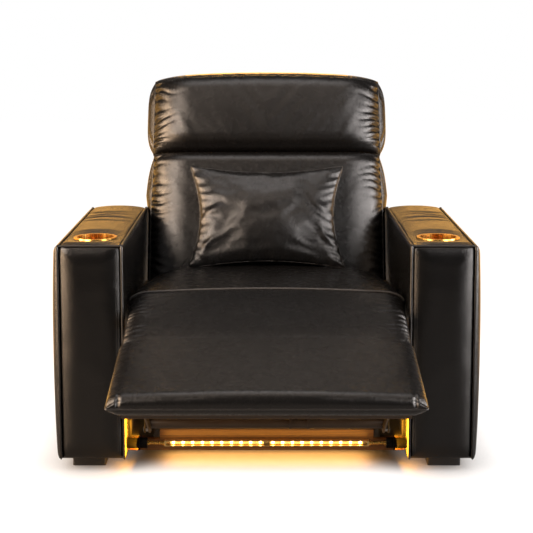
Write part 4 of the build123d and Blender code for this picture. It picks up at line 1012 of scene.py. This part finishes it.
def top_leather(name, sign, cup):
    """Leather over the top and the back of an arm, with a round hole for the cup holder."""
    points, quads = lattice(spaced(60, 0.6), spaced(240), spaced(2))
    u, v, w = points.T
    x = arm_mid_x + u * (arm_half_x - leather_gap)
    start, corner = front_y + top_start, arm_rear_round
    flat = arm_rear - corner - start
    down = arm_top - corner - arm_low
    s = (v + 1) / 2 * (flat + corner * math.pi / 2 + down)
    angle = np.clip((s - flat) / corner, 0, math.pi / 2)
    below = np.clip(s - flat - corner * math.pi / 2, 0, None)
    outward = (w + 1) / 2
    cup_y, cup_x = (cup[0].y + cup[1].y) / 2, abs(cup[0].x + cup[1].x) / 2
    from_cup = np.hypot(x - cup_x, start + s - cup_y)
    free = np.clip((from_cup - 0.058) / 0.05, 0, 1)
    crown = top_crown * (1 - np.abs(u) ** 2.2) * free * np.clip(s / 0.03, 0, 1)
    creases = np.zeros(len(s))
    for place, width, depth in top_creases:
        bent = place + 0.010 * np.sin(u * 2.1 + place * 30)
        creases += depth * np.exp(-((s - bent) / width) ** 2) * (1 - u ** 4)
    inset = (0.006 * turn_in(u, arm_half_x, 0.012) * outward + (1 - outward) * 0.010
             - (crown - creases) * outward)
    r = corner - inset
    y = np.where(s < flat, start + s, arm_rear - corner + np.sin(angle) * r)
    z = np.where(s < flat, arm_top - inset, arm_top - corner + np.cos(angle) * r) - below
    piece = handed(name, columns(x, y, z), quads, sign)
    cutter = cup_cutter(cup, (cup[1].x - cup[0].x) / 2 - 0.004)
    hole = piece.modifiers.new("hole", "BOOLEAN")
    hole.object, hole.operation, hole.solver = cutter, "DIFFERENCE", "EXACT"
    bpy.context.view_layer.update()
    cut = bpy.data.meshes.new_from_object(evaluated(piece))
    piece.modifiers.remove(hole)
    bpy.data.objects.remove(cutter)
    piece.data = cut
    cut.name = name
    cut.set_sharp_from_angle(angle=math.radians(50))
    return piece


def arm_edge(x, start_z):
    """Line up the front corner of an arm, back along its top and down its rear."""
    corner = arm_rear_round
    turn = np.linspace(0, math.pi / 2, 14)
    up = [(x, front_y + 0.0035, z) for z in np.linspace(start_z, arm_top - 0.004, 50)]
    back = [(x, y, arm_top - 0.0012) for y in np.linspace(front_y + 0.006, arm_rear - corner, 50)]
    over = [(x, arm_rear - corner + math.sin(a) * corner, arm_top - corner + math.cos(a) * corner)
            for a in turn]
    down = [(x, arm_rear, z) for z in np.linspace(arm_top - corner - 0.01, start_z, 30)]
    return np.array(up + back + over + down)


for side_name, side in both_sides:
    mirror = np.array([side, 1, 1])
    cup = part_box(f"{side_name}_cup_holder")
    arm = f"{side_name}_arm"
    outer = arm_panel(f"{arm}_outer_leather", outer_seam + leather_gap, outer_seam + 0.0120, crown=0.0150,
                      edge=0.011, counts=(4, 110, 100), sign=side)
    inner = arm_panel(f"{arm}_inner_leather", inner_seam - leather_gap, inner_seam - 0.0058, crown=0.0,
                      edge=0.004, counts=(2, 90, 80), sign=side)
    front = front_panel(f"{arm}_front_leather", side)
    top = top_leather(f"{arm}_top_leather", side, cup)
    for piece, node in ((outer, "outer_panel"), (inner, "inner_panel"), (front, "front_panel"),
                        (top, "top_pad")):
        dress(piece, arm_leather, "root", "leather", f"{arm}_{node}", fill=0.7)
    outer_line = arm_edge(outer_seam + 0.001, arm_low + 0.002)
    inner_line = arm_edge(inner_seam - 0.001, arm_low + 0.002)
    top_line = columns(np.linspace(inner_seam, outer_seam, 40), front_y + 0.0050, arm_top - 0.001)
    for place, line, radius in (("outer", outer_line, seam_radius), ("inner", inner_line, welt_radius),
                                ("top_front", top_line, seam_radius)):
        piping(f"{arm}_{place}_piping", line * mirror, radius, "root", "leather")
    level = np.linspace(arm_low + 0.02, arm_top - 0.02, 90)
    for number, shift in enumerate((0.0085, 0.0135)):
        u_here = (inner_seam + shift - arm_mid_x) / arm_half_x
        w_here = (level - arm_mid_z) / arm_half_z
        deep_here = front_turn(u_here, w_here) * front_drop - front_puff
        line = columns(inner_seam + shift, front_y + deep_here, level) * mirror
        dress(stitches(f"{arm}_front_stitches_{number + 1}", line, pitch=0.0050), thread, "root", "leather")

# ---------------------------------------------------------------- floor, light and camera
background_white = 1.0  # strength at which the world shows as white
mirror_share = 0.04  # how much of that white glossy surfaces mirror: the photo's leather mirrors a dark room
world_fill = 0.05  # what lights the object from all round


def seen_white(nodes):
    """1 where a ray shows the white background: camera and transmission rays, and in part glossy ones."""
    path = nodes.node("ShaderNodeLightPath").outputs
    total = nodes.math("MULTIPLY", path["Is Glossy Ray"], mirror_share)
    for ray in ("Is Camera Ray", "Is Transmission Ray"):
        total = nodes.math("MAXIMUM", total, path[ray])
    return total


floor_mesh = bmesh.new()
bmesh.ops.create_grid(floor_mesh, x_segments=2, y_segments=2, size=12.0)
floor_data = bpy.data.meshes.new("floor")
floor_mesh.to_mesh(floor_data)
floor_mesh.free()
floor = added("floor", floor_data)
f = Finish("floor_finish")
pale = f.mix(f.noise(30.0, 2.0, 0.5), (0.13, 0.13, 0.13), (0.16, 0.16, 0.16))
# painted contact shadow: ambient occlusion takes the floor's white glow away near the object
contact_shadow_ao = f.node("ShaderNodeAmbientOcclusion", {"Distance": 0.13}, samples=8)
spot = f.node("ShaderNodeSeparateXYZ", {"Vector": f.place}).outputs
clear = 0.0  # painted shadow: the floor's white glow is taken away under the seat, between the arms
for distance, start, end in ((spot["Y"], front_y + 0.13, front_y - 0.03),
                             (spot["Y"], arm_rear - 0.05, arm_rear + 0.10),
                             (f.math("ABSOLUTE", spot["X"]), arm_inner - 0.04, arm_inner + 0.05)):
    clear = f.math("MAXIMUM", f.step(distance, start, end), clear)
# the floor's white glow, less the painted shadows
glow = f.math("MULTIPLY", seen_white(f), f.math("MULTIPLY", contact_shadow_ao.outputs["AO"], clear))
f.set(Base_Color=pale, Roughness=0.9, Emission_Color=(1, 1, 1, 1), Emission_Strength=glow)
floor_data.materials.append(f.material)

world = bpy.data.worlds.new("world")
bpy.context.scene.world = world
world.use_nodes = True
sky = Nodes(world.node_tree)
fill = sky.tree.nodes["Background"]
sky.plug(fill.inputs["Color"], (1.0, 0.95, 0.90, 1))
sky.plug(fill.inputs["Strength"], world_fill)
white = sky.node("ShaderNodeBackground", {"Color": (1, 1, 1, 1), "Strength": background_white})
mixed = sky.node("ShaderNodeMixShader", {0: seen_white(sky), 1: fill.outputs[0], 2: white.outputs[0]})
sky.plug(sky.tree.nodes["World Output"].inputs["Surface"], mixed.outputs["Shader"])


def lamp(name, place, target, size, power, tint):
    """An area lamp of some watts, turned to its target."""
    data = bpy.data.lights.new(name, "AREA")
    data.shape = "RECTANGLE"
    data.size, data.size_y = size
    data.energy = power
    data.color = tint
    lit = added(name, data)
    lit.location = place
    lit.rotation_euler = (Vector(target) - Vector(place)).to_track_quat("-Z", "Y").to_euler()
    lit.visible_camera = False


warm, cream, neutral, amber = (1.0, 0.70, 0.46), (1.0, 0.82, 0.68), (1.0, 0.93, 0.90), (1.0, 0.50, 0.10)
aim = (0, 0.2, 0.55)  # about the middle of the object
lamp("left_low", (-2.25, -1.5, 0.7), aim, (0.9, 1.4), 50, warm)
lamp("left_high", (-1.9, -1.6, 2.1), aim, (0.9, 1.2), 78, cream)
lamp("left_far", (-2.8, -0.5, 1.1), aim, (0.8, 2.0), 150, warm)
lamp("right_low", (2.25, -1.5, 0.7), aim, (0.9, 1.4), 36, neutral)
lamp("right_high", (1.9, -1.6, 2.1), aim, (0.9, 1.2), 42, neutral)
lamp("right_far", (2.8, -0.5, 1.1), aim, (0.8, 2.0), 100, neutral)
lamp("top_front", (0, -1.0, 2.9), (0, -0.2, 0.5), (1.8, 0.6), 7, cream)
lamp("overhead", (0, 0.1, 2.9), (0, 0.0, 0.4), (1.8, 0.7), 15, neutral)
lamp("behind_top", (0, 2.3, 2.0), (0, 0.5, 0.9), (2.0, 0.3), 2.2, cream)
lamp("rim_arms", (0, 2.5, 1.12), (0, 0.5, 0.9), (2.0, 0.3), 3.6, amber)
lamp("rim_top", (0, 1.6, 1.39), (0, 0.45, 0.96), (0.7, 0.16), 8, amber)
for side_name, side in both_sides:
    lamp(f"rim_{side_name}", (side * 1.5, 2.7, 0.42), (side * 0.45, 0.3, 0.5), (1.9, 0.7), 12, amber)
    lamp(f"edge_{side_name}", (side * 2.5, 1.3, 0.75), (side * 0.4, 0.3, 0.7), (1.7, 1.3), 16, amber)
    lamp(f"floor_glow_{side_name}", (side * 1.15, 0.8, 0.28), (side * 0.53, -0.6, 0.28), (1.1, 0.55),
         1.8, amber)
    lamp(f"end_glow_{side_name}", (side * 0.327, front_y + 0.05, 0.08), (side * 0.5, front_y + 0.06, 0.09),
         (0.10, 0.10), 1.5, (1.0, 0.40, 0.02))
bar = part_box("light_channel")
bar_middle, bar_length = (bar[0] + bar[1]) / 2, bar[1].x - bar[0].x
lamp("bar_glow_below", (0, front_y + 0.10, 0.030), (0, front_y + 0.099, 0.0), (bar_length, 0.12), 1.7,
     (1.0, 0.47, 0.12))
lamp("bar_glow_above", (0, bar_middle.y, bar[1].z + 0.004), (0, bar_middle.y + 0.1, bar[1].z + 0.5),
     (bar_length, 0.012), 0.16, (1.0, 0.54, 0.09))

camera_data = bpy.data.cameras.new("camera")
camera = added("camera", camera_data)
bpy.context.scene.camera = camera
frame_pixels = 533.0
focal_pixels = 1393.5
axis_pixel = 266.7  # the photo's middle column
camera_shift = 0.10
camera_pitch = 0.1366  # radians down
sensor = 36.0  # millimetres
camera_distance = 3.3556  # in front of the arm fronts
camera_height = 1.1121
camera_data.sensor_width = sensor
camera_data.lens = sensor * focal_pixels / frame_pixels
camera_data.shift_x = -(axis_pixel - frame_pixels / 2) / frame_pixels
camera_data.shift_y = -camera_shift
camera.location = (0.0, front_y - camera_distance, camera_height)
camera.rotation_euler = (math.pi / 2 - camera_pitch, 0, 0)
bpy.context.scene.view_settings.view_transform = "Standard"
